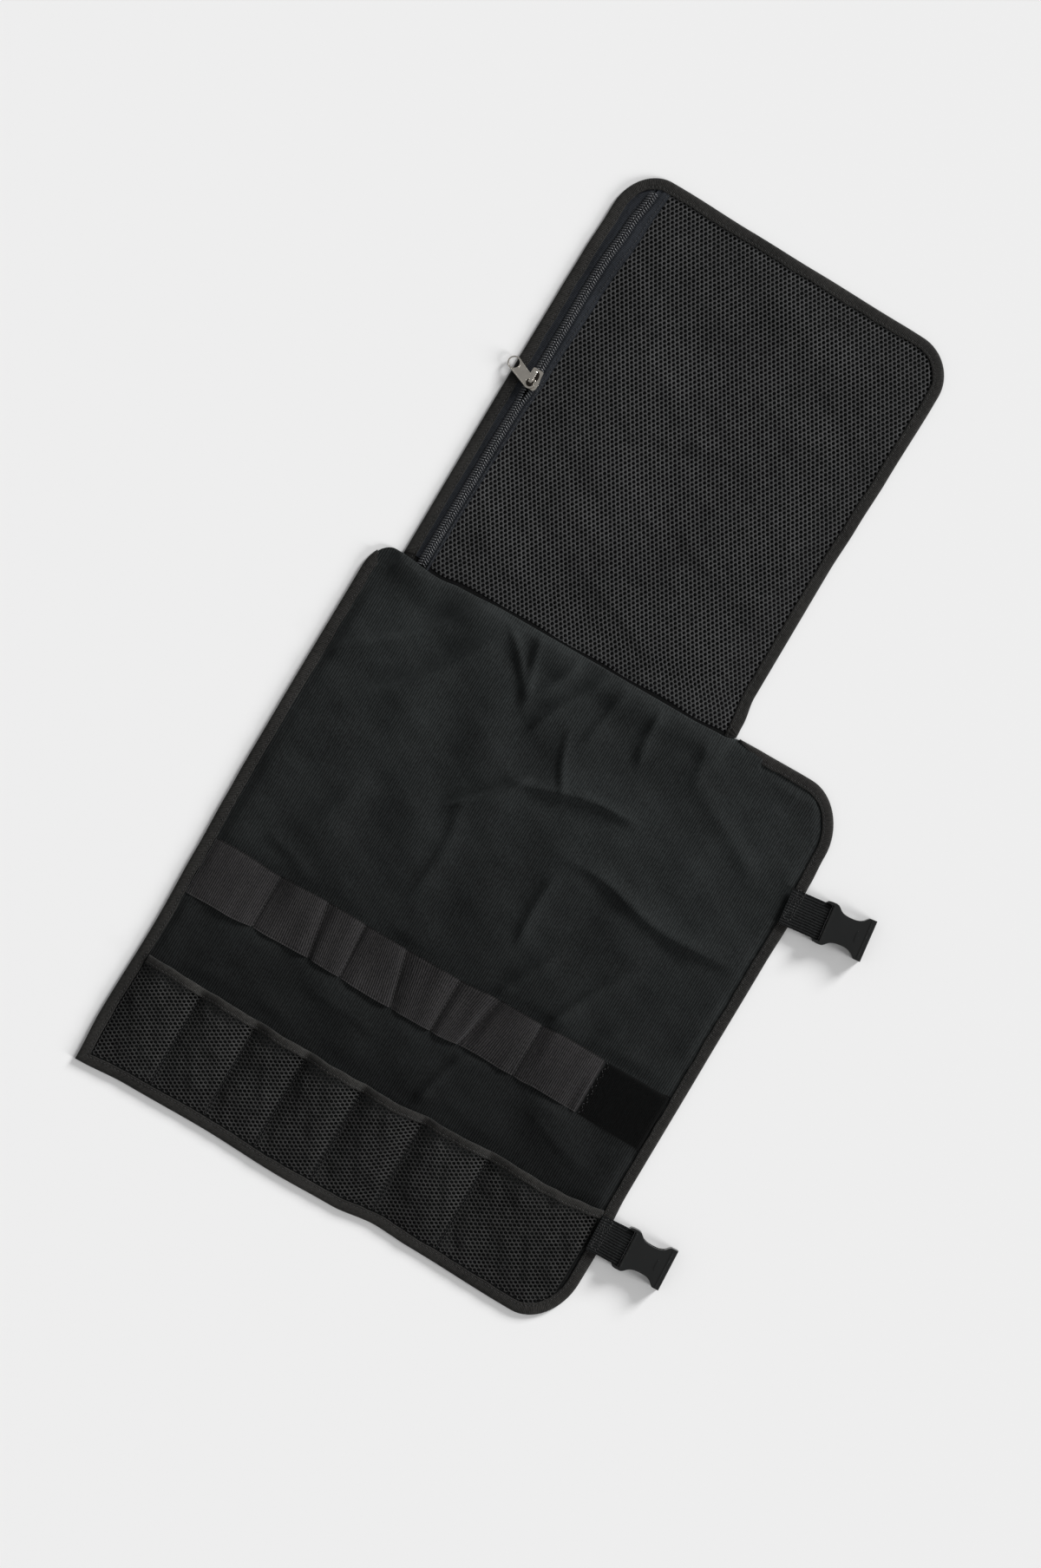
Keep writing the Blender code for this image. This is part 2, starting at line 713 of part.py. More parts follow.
def make_flap_panel(cloth):
    """The flap's backing, with a tongue that runs in under the panel's edge."""
    box = (FLAP_LEFT, FLAP_RIGHT, SEAM - LAP - HEM, FLAP_TOP)
    corners = (TONGUE_LEFT, TONGUE_RIGHT, FLAP_CORNERS[2], FLAP_CORNERS[3])
    insets = (HEM, LEG_END + LEG_CLEARANCE, LEG_END + 0.010)
    edges = flap_edges(spread(FLAP_LEFT + TONGUE_LEFT.across, FLAP_RIGHT - TONGUE_RIGHT.across, 8))
    loops = [sum(outline(box, corners, inset, edges), []) for inset in insets]
    held = 2

    def under(x, y, depth):
        return HEM if depth < held else 0.0

    def over(x, y, depth):
        return BACKING_THICKNESS

    return ring_sheet("flap_panel", loops, 0.0, under, over, on_flap, cloth)


def make_flap_mesh(net):
    """The flap's mesh face, from the zip to the binding, and in under the panel's edge."""
    rest = FLAP_LEFT + FLAP_WIDTH * MESH_LINE[0].depth
    box = (rest - HEM, FLAP_RIGHT, SEAM - LAP - HEM, FLAP_TOP)
    corners = (SQUARE, TONGUE_RIGHT, FLAP_CORNERS[2], SQUARE)
    insets = (HEM, LEG_END + LEG_CLEARANCE, LEG_END + 0.007)
    bottom, right, top, left = flap_edges(spread(rest, FLAP_RIGHT - TONGUE_RIGHT.across, 8))
    top = [x for x in top if x > rest + LEG_END]
    loops = [sum(outline(box, corners, inset, (bottom, right, top, left)), []) for inset in insets]

    def slanted(x, y):
        straight = FLAP_RIGHT - FLAP_CORNERS[2].across
        share = max(0.0, (straight - x) / (straight - rest))
        return x + (mesh_x(y) - rest) * share

    def warp(x, y):
        return on_flap(slanted(x, y), y)

    def under(x, y, depth):
        return FACE_LOW + face_lift(slanted(x, y), y)

    def over(x, y, depth):
        return under(x, y, depth) + FACE_THICKNESS

    return ring_sheet("flap_mesh", loops, FACE_GRID, under, over, warp, net)


def flap_edge_x(y, inset):
    """The flap's left outline at a height, moved in by inset."""
    corner = FLAP_CORNERS[3]
    up = (y - (FLAP_TOP - corner.up)) / (corner.up - inset)
    if up <= 0:
        return FLAP_LEFT + inset
    return FLAP_LEFT + corner.across - (corner.across - inset) * math.sqrt(max(1 - up * up, 0.0))


def zip_heights(end):
    """Heights along the zip, dense round the slider."""
    low, slider = FLAP_FOOT + GAP, SEAM + SLIDER_UP
    shares = (-1, -3 / 4, -1 / 2, -1 / 3, -1 / 8, 1 / 48, 1 / 6)
    near = [slider + OPENING_END * share for share in shares]
    below = [low + (near[0] - low) * share for share in (0.0, 0.05, 0.30, 0.60)]
    above = [near[-1] + (end - near[-1]) * share for share in (0.30, 0.60, 0.80, 0.92, 0.97, 1.0)]
    return below + near + above


def make_tapes(tape):
    """The zip's two tapes: the outer runs under the binding, the inner meets the mesh."""
    heights = zip_heights(FLAP_TOP - TAPE_TOP_END)

    def outer_x(column, y):
        edge = chain_x(y) - chain_split(y) / 2 - GAP
        steps = [flap_edge_x(y, inset) for inset in (HEM, LEG_END, LEG_END + TAPE_STEP)]
        return min([*steps, edge][column], edge)

    def inner_x(column, y):
        start = chain_x(y) + chain_split(y) / 2 + GAP
        return start + (mesh_x(y) - GAP - start) * column / 2

    def level(x, y, lift):
        return (*on_flap(x, y), FACE_LOW + face_lift(x, y) + lift)

    tapes = (("zip_tape_outer", range(4), outer_x), ("zip_tape_inner", range(3), inner_x))
    for name, columns, place in tapes:
        def low(column, y, place=place):
            return level(place(column, y), y, 0.0)

        def high(column, y, place=place):
            return level(place(column, y), y, TAPE_THICKNESS)

        slab(name, columns, heights, low, high, tape)


def make_coils(nylon):
    """The zip's two rows of teeth, each a plain strip on its tape."""
    end = FLAP_TOP - LEG_END - COIL_END
    for name, side in (("zip_coil_outer", -1), ("zip_coil_inner", 1)):
        rings = []
        for y in zip_heights(end):
            near = chain_x(y) + side * chain_split(y) / 2
            far = near + side * COIL_WIDTH
            low = FACE_LOW + face_lift(chain_x(y), y) + TAPE_THICKNESS + GAP
            corners = ((near, low), (far, low), (far, low + COIL_HEIGHT), (near, low + COIL_HEIGHT))
            rings.append([(*on_flap(x, y), z) for x, z in corners])
        swept(name, rings, nylon)


def combine(body, other, operation):
    """Cut or join another body, then drop it."""
    change = body.modifiers.new(operation.title(), "BOOLEAN")
    change.operation = operation
    change.object = other
    graph = bpy.context.evaluated_depsgraph_get()
    made = bpy.data.meshes.new_from_object(body.evaluated_get(graph))
    body.modifiers.clear()
    body.data = made
    bpy.data.objects.remove(other)


def block(name, low, high, finish):
    """A box between two corners."""
    rings = []
    corners = ((low[1], low[2]), (high[1], low[2]), (high[1], high[2]), (low[1], high[2]))
    for x in (low[0], high[0]):
        rings.append([(x, y, z) for y, z in corners])
    return swept(name, rings, finish)


def rod(name, centre, radius, low, high, sides, finish):
    """An upright round bar."""
    rings = []
    turns = [2 * math.pi * step / sides for step in range(sides)]
    plan = [(centre[0] + radius * math.cos(a), centre[1] + radius * math.sin(a)) for a in turns]
    for z in (low, high):
        rings.append([(x, y, z) for x, y in plan])
    return swept(name, rings, finish)


def thick_path(path, thickness):
    """The closed outline of a strip that follows a path in a plane."""
    one_side, other_side = [], []
    for index, (u, v) in enumerate(path):
        before = path[max(index - 1, 0)]
        after = path[min(index + 1, len(path) - 1)]
        run = math.hypot(after[0] - before[0], after[1] - before[1])
        across = (-(after[1] - before[1]) / run, (after[0] - before[0]) / run)
        one_side.append((u + across[0] * thickness / 2, v + across[1] * thickness / 2))
        other_side.append((u - across[0] * thickness / 2, v - across[1] * thickness / 2))
    return one_side + other_side[::-1]


def slider_place():
    """The slider's place, with the height of its foot plate's underside."""
    y = SEAM + SLIDER_UP
    return Vector((*on_flap(chain_x(y), y), FACE_LOW))


def slider_top():
    """Height of the slider's upper face above its foot plate's underside."""
    return ZIP_LIFT + TAPE_THICKNESS + GAP + COIL_HEIGHT + GAP + SLIDER_PLATE


def make_slider(metal):
    """The slider: a plate with flanges over the rows, a post between them, a foot plate and a bail."""
    top = slider_top()
    ceiling = top - SLIDER_PLATE
    flange_foot = ZIP_LIFT + TAPE_THICKNESS + GAP
    rings = []
    for row in SLIDER_FLANK:
        y = (row.along - 0.5) * SLIDER_LENGTH
        half = row.half * SLIDER_HALF_WIDTH
        clear = half - SLIDER_FLANGE
        profile = (
            (-half, flange_foot), (-half, top), (half, top), (half, flange_foot),
            (clear, flange_foot), (clear, ceiling), (-clear, ceiling), (-clear, flange_foot),
        )
        rings.append([(x, y, z) for x, z in profile])
    body = swept("zip_slider", rings, metal)
    post_low, post_high = -SLIDER_LENGTH * 0.45, -SLIDER_LENGTH * 0.18
    bite = SLIDER_PLATE / 2
    half_post = POST_WIDTH / 2
    post = block(
        "post",
        (-half_post, post_low, SLIDER_FOOT / 2),
        (half_post, post_high, ceiling + bite),
        metal,
    )
    foot_half = SLIDER_HALF_WIDTH * 0.72
    foot = block(
        "foot",
        (-foot_half, -SLIDER_LENGTH * 0.47, 0.0),
        (foot_half, SLIDER_LENGTH * 0.45, SLIDER_FOOT),
        metal,
    )
    combine(post, foot, "UNION")
    combine(body, post, "UNION")
    combine(body, make_bail(metal, top), "UNION")
    body.location = slider_place()
    return body


def make_bail(metal, top):
    """The arch on the slider that the pull's eye hangs on."""
    sunk = top - SLIDER_PLATE / 2
    crest = top + BAIL_CLEAR + BAIL_THICKNESS / 2
    low_y, high_y = -BAIL_LEG_DOWN, BAIL_LEG_UP
    turn = BAIL_TURN
    path = [(low_y, sunk), (low_y, crest - turn)]
    path += [(low_y + turn * 0.3, crest - turn * 0.3), (low_y + turn, crest)]
    path += [(high_y - turn * 1.8, crest), (high_y - turn * 0.6, crest - turn * 0.5)]
    path += [(high_y, crest - turn * 1.6), (high_y, sunk)]
    shape = thick_path(path, BAIL_THICKNESS)
    sides = (-BAIL_OFFSET - BAIL_WIDTH / 2, -BAIL_OFFSET + BAIL_WIDTH / 2)
    return swept("bail", [[(x, y, z) for y, z in shape] for x in sides], metal)


def pull_pivot():
    """The middle of the rim of the pull's eye, on the far side of the bail's leg."""
    eye_x = slider_place().x - BAIL_OFFSET
    eye_y = slider_place().y - BAIL_LEG_DOWN
    back = (PULL_EYE_HOLE + PULL_EYE_RIM) / 2
    outwards = Vector((math.cos(PULL_YAW), math.sin(PULL_YAW)))
    pivot = Vector((eye_x, eye_y)) - outwards * back * math.cos(PULL_DROOP)
    slider_edge = (slider_place().x - SLIDER_HALF_WIDTH - pivot.x) / outwards.x
    rest = slider_place().z + slider_top() + GAP + PULL_THICKNESS / 2
    return Vector((*pivot, rest + slider_edge * math.tan(PULL_DROOP)))


def make_pull(metal):
    """The pull: a tapered tab with an eye for the bail and a round hole at its free end."""
    eye = (PULL_EYE_HOLE + PULL_EYE_RIM) / 2
    end = eye + PULL_CENTRES
    lean = math.asin((PULL_END_RIM - PULL_EYE_RIM) / PULL_CENTRES)
    steps = 9
    shape = []
    for step in range(steps + 1):
        angle = math.pi / 2 + lean + (math.pi - 2 * lean) * step / steps
        shape.append((eye + PULL_EYE_RIM * math.cos(angle), PULL_EYE_RIM * math.sin(angle)))
    for step in range(steps + 1):
        angle = -math.pi / 2 - lean + (math.pi + 2 * lean) * step / steps
        shape.append((end + PULL_END_RIM * math.cos(angle), PULL_END_RIM * math.sin(angle)))
    half = PULL_THICKNESS / 2
    body = swept("zip_pull", [[(x, y, z) for x, y in shape] for z in (-half, half)], metal)
    over = PULL_THICKNESS
    for centre, radius in ((eye, PULL_EYE_HOLE), (end, PULL_END_HOLE)):
        combine(body, rod("hole", (centre, 0.0), radius, -over, over, 16, metal), "DIFFERENCE")
    body.matrix_world = (
        Matrix.Translation(pull_pivot())
        @ Matrix.Rotation(PULL_YAW, 4, "Z")
        @ Matrix.Rotation(PULL_DROOP, 4, "Y")
    )
    return body


def arch_stations(sections, start, length):
    """Columns across a row of sections: x, height as a share of the rise, and lean of the seam."""
    stations = [(start, 0.0, 0.0)]
    x = start
    lean = 0.0
    for section in sections:
        width = section.share * length
        clear = width - 2 * SEAM_FLAT
        for step in range(ARCH_STEPS + 1):
            share = step / ARCH_STEPS
            height = section.rise * (1 - abs(2 * share - 1) ** ARCH_POWER)
            slope = lean + (section.lean - lean) * share
            stations.append((x + SEAM_FLAT + clear * share, height, slope))
        x += width
        lean = section.lean
    stations.append((x, 0.0, lean))
    return stations


def band_limits():
    """The band's left and right ends."""
    return LEFT + LEG_END + SEWN_CLEARANCE, RIGHT - LEG_END - SEWN_CLEARANCE - PATCH_WIDTH - GAP


def make_band(elastic):
    """The elastic band: sewn to the panel in sections that arch up between their seams."""
    start, end = band_limits()
    middle = BOTTOM + BAND_UP

    def place(station, row, lift):
        x, height, lean = station
        y = middle + row * BAND_WIDTH / 2
        return (*on_panel(x + lean * row * BAND_WIDTH / 2, y), SEAT + BAND_RISE * height + lift)

    def low(station, row):
        return place(station, row, 0.0)

    def high(station, row):
        return place(station, row, BAND_THICKNESS)

    slab("knife_band", arch_stations(BAND_SECTIONS, start, end - start), (-1, 1), low, high, elastic)


def make_patch(hooks):
    """The hook-and-loop patch between the band's end and the right binding."""
    start = band_limits()[1] + GAP
    columns = [start + PATCH_WIDTH * share for share in (0.0, 0.5, 1.0)]
    rows = [BOTTOM + BAND_UP + PATCH_HEIGHT * share for share in (-0.5, 0.5)]

    def low(x, y):
        return (*on_panel(x, y), SEAT)

    def high(x, y):
        return (*on_panel(x, y), SEAT + PATCH_THICKNESS)

    slab("hook_patch", columns, rows, low, high, hooks)


def mouth_y(x):
    """The pockets' top edge on the straight panel."""
    return BOTTOM + POCKET_UP + PANEL_HEIGHT * along(MOUTH_CLIMB, (x - LEFT) / PANEL_WIDTH)


def foot_y(x):
    """The bottom binding's inner edge, with its round right corner."""
    corner = PANEL_CORNERS[1]
    inset = LEG_END + SEWN_CLEARANCE
    out = (x - (RIGHT - corner.across)) / (corner.across - inset)
    if out <= 0:
        return BOTTOM + inset
    return BOTTOM + corner.up - (corner.up - inset) * math.sqrt(max(1 - out * out, 0.0))


def pocket_level(station, y):
    """Height of the pocket mesh's underside: sewn down at the foot, open at the mouth."""
    x, height, _ = station
    share = min(max((y - foot_y(x)) / (mouth_y(x) - foot_y(x)), 0.0), 1.0)
    swell = 1 - (1 - share) ** 2.2
    over_leg = smooth((y - (mouth_y(x) - MOUTH_BINDING_WIDTH - 0.006)) / 0.005)
    return SEAT + POCKET_RISE * height * swell + (MOUTH_BINDING_WALL + GAP) * over_leg


def pocket_stations():
    """Columns across the seven pockets."""
    start, end = LEFT + LEG_END + SEWN_CLEARANCE, RIGHT - LEG_END - SEWN_CLEARANCE
    return arch_stations(POCKET_SECTIONS, start, end - start)


def make_pockets(net):
    """The mesh of the pockets: one sheet, sewn down between them."""
    def place(station, row, lift):
        x = station[0]
        top = mouth_y(x) - MOUTH_BINDING_WALL - GAP
        bend = mouth_y(x) - MOUTH_BINDING_WIDTH - 0.001
        low_y = foot_y(x)
        y = top if row > 1 else low_y + (bend - low_y) * row
        return (*on_panel(x, y), pocket_level(station, y) + lift)

    def low(station, row):
        return place(station, row, 0.0)

    def high(station, row):
        return place(station, row, MESH_THICKNESS)

    slab("pocket_mesh", pocket_stations(), (*POCKET_ROWS, 2.0), low, high, net)


def make_mouth_binding(tape):
    """The tape folded over the pockets' top edge."""
    wall, width = MOUTH_BINDING_WALL, MOUTH_BINDING_WIDTH
    inner = -GAP - wall
    outer = MESH_THICKNESS + GAP + wall
    profile = (
        (0.0, inner), (0.0, outer), (width, outer), (width, outer - wall),
        (wall, outer - wall), (wall, inner + wall), (width, inner + wall), (width, inner),
    )
    rings = []
    for station in pocket_stations():
        ring = []
        for back, rise in profile:
            y = mouth_y(station[0]) - back
            ring.append((*on_panel(station[0], y), pocket_level(station, y) + rise))
        rings.append(ring)
    swept("pocket_binding", rings, tape)


def strap_root(strap):
    """Where a strap leaves the panel's edge."""
    return on_panel(RIGHT, BOTTOM + strap.up)


def make_strap(strap, webbing):
    """Webbing sewn on the binding, that runs out, round the buckle's bar and back."""
    half = WEBBING_THICKNESS / 2
    bar = BUCKLE_HEIGHT / 2
    lower = PANEL_BINDING_HEIGHT + GAP + half
    upper = lower + WEBBING_THICKNESS + GAP
    turn_up = BAR_HEIGHT / 2 + GAP + half
    turn_out = BAR_WIDTH / 2 + GAP + half
    bend = 0.0005
    path = [(-STRAP_SEWN, lower), (0.001, lower), (strap.reach * 0.45, (lower + bar - turn_up) / 2)]
    near, far = strap.reach - BAR_WIDTH / 2, strap.reach + turn_out
    path += [(near, bar - turn_up), (far - bend, bar - turn_up)]
    path += [(far, bar - turn_up + bend), (far, bar + turn_up - bend)]
    path += [(far - bend, bar + turn_up), (near, bar + turn_up)]
    path += [(strap.reach * 0.45, (upper + bar + turn_up) / 2), (0.001, upper), (-STRAP_SEWN, upper)]
    root = strap_root(strap)
    shape = thick_path(path, WEBBING_THICKNESS)
    sides = (shape[:len(path)], shape[len(path):][::-1])

    def place(side, index, row):
        out, z = sides[side][index]
        y = row * WEBBING_WIDTH / 2
        lean = strap.lean * smooth(out / (strap.reach * 0.45))
        past = out - strap.reach
        turned_x = strap.reach + past * math.cos(lean) - y * math.sin(lean)
        turned_y = past * math.sin(lean) + y * math.cos(lean)
        return (root[0] + turned_x, root[1] + turned_y, z)

    def low(index, row):
        return place(0, index, row)

    def high(index, row):
        return place(1, index, row)

    slab("strap_" + strap.name, range(len(path)), (-1, 1), low, high, webbing)


def make_buckle_mesh(plastic):
    """A side-release socket: a bar and slot for the webbing, open flanks and a mouth."""
    side = buckle_side()
    shape = side + [(x, -y) for x, y in side[::-1]]
    body = swept("socket", [[(x, y, z) for x, y in shape] for z in (0.0, BUCKLE_HEIGHT)], plastic)
    edge = body.modifiers.new("Edge", "BEVEL")
    edge.width = BUCKLE_EDGE
    edge.segments = 1
    edge.limit_method = "ANGLE"
    edge.angle_limit = math.radians(60)
    near = -BAR_WIDTH / 2
    far = near + BUCKLE_LENGTH
    past = CUT_PAST
    slot_half = WEBBING_WIDTH / 2 + GAP
    slot = block(
        "slot",
        (BAR_WIDTH / 2, -slot_half, -past),
        (BAR_WIDTH / 2 + SLOT_WIDTH, slot_half, BUCKLE_HEIGHT + past),
        plastic,
    )
    combine(body, slot, "DIFFERENCE")
    middle = BUCKLE_HEIGHT / 2
    below = ("below", -past, middle - BAR_HEIGHT / 2)
    above = ("above", middle + BAR_HEIGHT / 2, BUCKLE_HEIGHT + past)
    for name, low, high in (below, above):
        low_corner = (near - past, -slot_half, low)
        high_corner = (BAR_WIDTH / 2 + past / 10, slot_half, high)
        trim = block(name, low_corner, high_corner, plastic)
        combine(body, trim, "DIFFERENCE")
    socket = block(
        "cavity",
        (far - SOCKET_DEPTH, -SOCKET_HALF_WIDTH, BUCKLE_WALL),
        (far + past, SOCKET_HALF_WIDTH, BUCKLE_HEIGHT - BUCKLE_WALL),
        plastic,
    )
    combine(body, socket, "DIFFERENCE")
    mesh = body.data
    bpy.data.objects.remove(body)
    return mesh


def make_buckle(strap, mesh):
    """A socket on its strap, turned by the strap's lean."""
    body = bpy.data.objects.new("buckle_" + strap.name, mesh)
    bpy.context.scene.collection.objects.link(body)
    root = strap_root(strap)
    body.location = (root[0] + strap.reach, root[1], 0.0)
    body.rotation_euler = (0.0, 0.0, strap.lean)


def main():
    for old in list(bpy.data.objects):
        bpy.data.objects.remove(old)
    cloth = material("cloth", (0.020, 0.022, 0.022), 0.85)
    tape = material("binding_tape", (0.024, 0.023, 0.021), 0.80)
    net = material("net", (0.040, 0.040, 0.039), 0.75)
    elastic = material("elastic", (0.032, 0.030, 0.030), 0.85)
    hooks = material("hooks", (0.006, 0.007, 0.007), 0.90)
    zip_tape = material("zip_tape", (0.030, 0.033, 0.038), 0.70)
    nylon = material("coil", (0.030, 0.031, 0.034), 0.30)
    metal = material("metal", (0.45, 0.42, 0.37), 0.30, 1.0)
    webbing = material("webbing", (0.020, 0.022, 0.021), 0.75)
    plastic = material("plastic", (0.022, 0.024, 0.024), 0.45)
    make_panel(cloth)
    make_panel_binding(tape)
    make_flap_panel(cloth)
    make_flap_mesh(net)
    make_flap_binding(tape)
    make_tapes(zip_tape)
    make_coils(nylon)
    make_slider(metal)
    make_pull(metal)
    make_band(elastic)
    make_patch(hooks)
    make_pockets(net)
    make_mouth_binding(tape)
    socket = make_buckle_mesh(plastic)
    for strap in STRAPS:
        make_strap(strap, webbing)
        make_buckle(strap, socket)


main()
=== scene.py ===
import math

import bmesh
import bpy
import numpy as np
from mathutils import Matrix, Vector


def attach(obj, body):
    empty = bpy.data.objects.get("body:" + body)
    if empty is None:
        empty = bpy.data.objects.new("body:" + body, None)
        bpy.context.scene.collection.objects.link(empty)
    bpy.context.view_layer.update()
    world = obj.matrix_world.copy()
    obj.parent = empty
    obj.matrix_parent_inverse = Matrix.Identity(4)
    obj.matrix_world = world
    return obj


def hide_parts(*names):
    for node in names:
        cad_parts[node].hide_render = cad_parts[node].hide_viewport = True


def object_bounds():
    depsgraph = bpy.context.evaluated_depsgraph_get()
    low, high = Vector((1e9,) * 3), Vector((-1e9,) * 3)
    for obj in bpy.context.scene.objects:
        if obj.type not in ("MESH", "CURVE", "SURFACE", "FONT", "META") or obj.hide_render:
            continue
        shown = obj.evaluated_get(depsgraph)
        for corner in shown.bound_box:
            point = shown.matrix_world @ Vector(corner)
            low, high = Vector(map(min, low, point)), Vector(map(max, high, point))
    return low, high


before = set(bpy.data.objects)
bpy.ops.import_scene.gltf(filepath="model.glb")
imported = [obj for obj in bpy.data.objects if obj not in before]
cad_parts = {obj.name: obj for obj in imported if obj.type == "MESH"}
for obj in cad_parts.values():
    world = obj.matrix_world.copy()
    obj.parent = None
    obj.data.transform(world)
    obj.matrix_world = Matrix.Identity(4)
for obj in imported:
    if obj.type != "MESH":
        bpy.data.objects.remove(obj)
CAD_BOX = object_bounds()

MM = 0.001

# The roll's own sizes, the same as in its CAD source
PANEL_WIDTH = 0.462
PANEL_HEIGHT = 0.513
PANEL_THICKNESS = 0.003
FLAP_WIDTH = 0.3183
FLAP_HEIGHT = 0.3703
FLAP_SET_IN = 0.0252
BACKING_THICKNESS = 0.0014
FACE_RISE = 0.0035
GAP = 0.0003
BINDING_WIDTH = 0.0097
BINDING_WALL = 0.0008
HEM = BINDING_WALL + GAP
LEG_END = BINDING_WIDTH + GAP
BAND_UP = 0.1962
BAND_WIDTH = 0.0513
BAND_THICKNESS = 0.0015
PATCH_WIDTH = 0.0640
PATCH_HEIGHT = 0.0520
SEAM_FLAT = 0.0016
SEWN_CLEARANCE = 0.0006
POCKET_UP = 0.1037
POCKET_RISE = 0.0075
MOUTH_BINDING_WIDTH = 0.0078
CHAIN_SPLIT = 0.0022
SLIDER_UP = 0.1755
PULL_THICKNESS = 0.0012
PULL_EYE_HOLE = 0.0034
PULL_EYE_RIM = 0.0051
PULL_END_HOLE = 0.0046
PULL_END_RIM = 0.0058
PULL_CENTRES = 0.0216
PULL_YAW = math.radians(156.9)
PULL_DROOP = math.radians(9.3)
WEBBING_WIDTH = 0.0319
WEBBING_THICKNESS = 0.0014
BUCKLE_LENGTH = 0.0452
BUCKLE_HALF_WIDTH = 0.0186
BUCKLE_HEIGHT = 0.011
BUCKLE_WALL = 0.0022
BAR_WIDTH = 0.0039
BAR_HEIGHT = 0.0034
SLOT_WIDTH = 0.0055
SOCKET_DEPTH = 0.0300
SOCKET_HALF_WIDTH = 0.0142

# Places worked out from the sizes
LEFT = float(CAD_BOX[0][0])
RIGHT = LEFT + PANEL_WIDTH
BOTTOM = -(PANEL_HEIGHT + FLAP_HEIGHT) / 2
SEAM = BOTTOM + PANEL_HEIGHT
FLAP_TOP = SEAM + FLAP_HEIGHT
FLAP_LEFT = LEFT + FLAP_SET_IN
FLAP_RIGHT = FLAP_LEFT + FLAP_WIDTH
FACE_LOW = BACKING_THICKNESS + GAP
ZIP_LIFT = 0.0009
SEAT = PANEL_THICKNESS + GAP
LAP_STEP = FACE_LOW + 0.0007 + GAP
FLAP_FOOT = SEAM - BINDING_WALL
SLIDER_TOP = ZIP_LIFT + 0.0007 + GAP + 0.0016 + GAP + 0.0008
SLIDER_HALF_WIDTH = 0.006
BAIL_OFFSET = 0.0013
BAIL_LEG_DOWN = 0.0044

# Rounded corners of the panel and the flap: reach across and up
PANEL_CORNERS = ((0.0, 0.0), (0.038, 0.048), (0.043, 0.050), (0.018, 0.026))
FLAP_CORNERS = ((0.0, 0.0), (0.0, 0.0), (0.036, 0.036), (0.033, 0.037))

# Share of an edge, and how far it wanders inwards as a share of the size it eats into
PANEL_LEFT_DENTS = (
    (0.00, 0.0084), (0.09, 0.0041), (0.26, 0.0074), (0.40, 0.0041), (0.50, 0.0015),
    (0.57, 0.0000), (0.70, 0.0000), (0.93, 0.0015), (1.00, 0.0022),
)
PANEL_RIGHT_DENTS = (
    (0.00, 0.0013), (0.15, 0.0000), (0.26, 0.0074), (0.50, 0.0063), (0.70, 0.0052),
    (0.78, 0.0032), (0.85, 0.0074), (0.90, 0.0104), (1.00, 0.0126),
)
PANEL_BOTTOM_DENTS = (
    (0.00, 0.0000), (0.11, 0.0057), (0.27, 0.0076), (0.43, 0.0037), (0.54, 0.0057),
    (0.63, 0.0150), (0.70, 0.0123), (0.90, 0.0086), (1.00, 0.0086),
)
PANEL_TOP_DENTS = (
    (0.00, 0.0185), (0.05, 0.0181), (0.13, 0.0242), (0.18, 0.0193), (0.27, 0.0148),
    (0.50, 0.0129), (0.65, 0.0121), (0.72, 0.0092), (0.75, 0.0019), (0.80, 0.0010),
    (0.89, 0.0000), (1.00, 0.0000),
)
FLAP_LEFT_DENTS = (
    (0.00, 0.0000), (0.50, 0.0000), (0.68, 0.0015), (0.77, 0.0030), (0.87, 0.0075), (1.00, 0.0123),
)
FLAP_RIGHT_DENTS = (
    (0.00, 0.0015), (0.03, 0.0030), (0.10, 0.0138), (0.43, 0.0138), (0.55, 0.0091),
    (0.68, 0.0047), (0.88, 0.0000), (1.00, 0.0000),
)
FLAP_TOP_DENTS = (
    (0.00, 0.0000), (0.14, 0.0000), (0.35, 0.0046), (0.55, 0.0078), (0.81, 0.0119), (1.00, 0.0157),
)
MOUTH_CLIMB = (
    (0.00, 0.0092), (0.17, 0.0033), (0.28, 0.0000), (0.43, 0.0023), (0.63, 0.0000),
    (0.74, 0.0049), (0.85, 0.0064), (1.00, 0.0160),
)
CHAIN_LINE = (
    (0.00, 0.0562), (0.25, 0.0594), (0.48, 0.0634), (0.75, 0.0612), (0.87, 0.0669),
    (0.95, 0.0760), (1.00, 0.0850),
)
MESH_LINE = (
    (0.00, 0.0729), (0.25, 0.0770), (0.38, 0.0812), (0.50, 0.0895), (0.70, 0.0974),
    (0.87, 0.1065), (1.00, 0.1100),
)
# Share of the run, share of the rise, and lean of the right hand seam
BAND_SECTIONS = (
    (0.1705, 0.85, 0.00), (0.1318, 1.00, -0.19), (0.0891, 0.92, -0.05), (0.1189, 1.00, -0.25),
    (0.1189, 1.00, 0.00), (0.0840, 0.92, 0.24), (0.1240, 1.00, 0.00), (0.1628, 1.00, 0.00),
)
POCKET_SECTIONS = (
    (0.131, 0.90, 0.0), (0.120, 1.00, 0.0), (0.111, 0.95, 0.0), (0.124, 1.00, 0.0),
    (0.130, 0.95, 0.0), (0.141, 1.00, 0.0), (0.243, 1.00, 0.0),
)
# Name, height above the panel's foot, reach to the buckle's bar, and lean
STRAPS = (
    ("upper", 0.4148, 0.0213, math.radians(7.0)),
    ("lower", 0.0941, 0.0155, math.radians(3.0)),
)
# A buckle's half width along its length, as shares
BUCKLE_FLANK = (
    (0.000, 0.86), (0.035, 0.97), (0.100, 1.00), (0.215, 1.00), (0.260, 0.93), (0.330, 0.76),
    (0.430, 0.67), (0.560, 0.65), (0.680, 0.67), (0.770, 0.76), (0.820, 0.90), (0.860, 0.98),
    (1.000, 0.99),
)
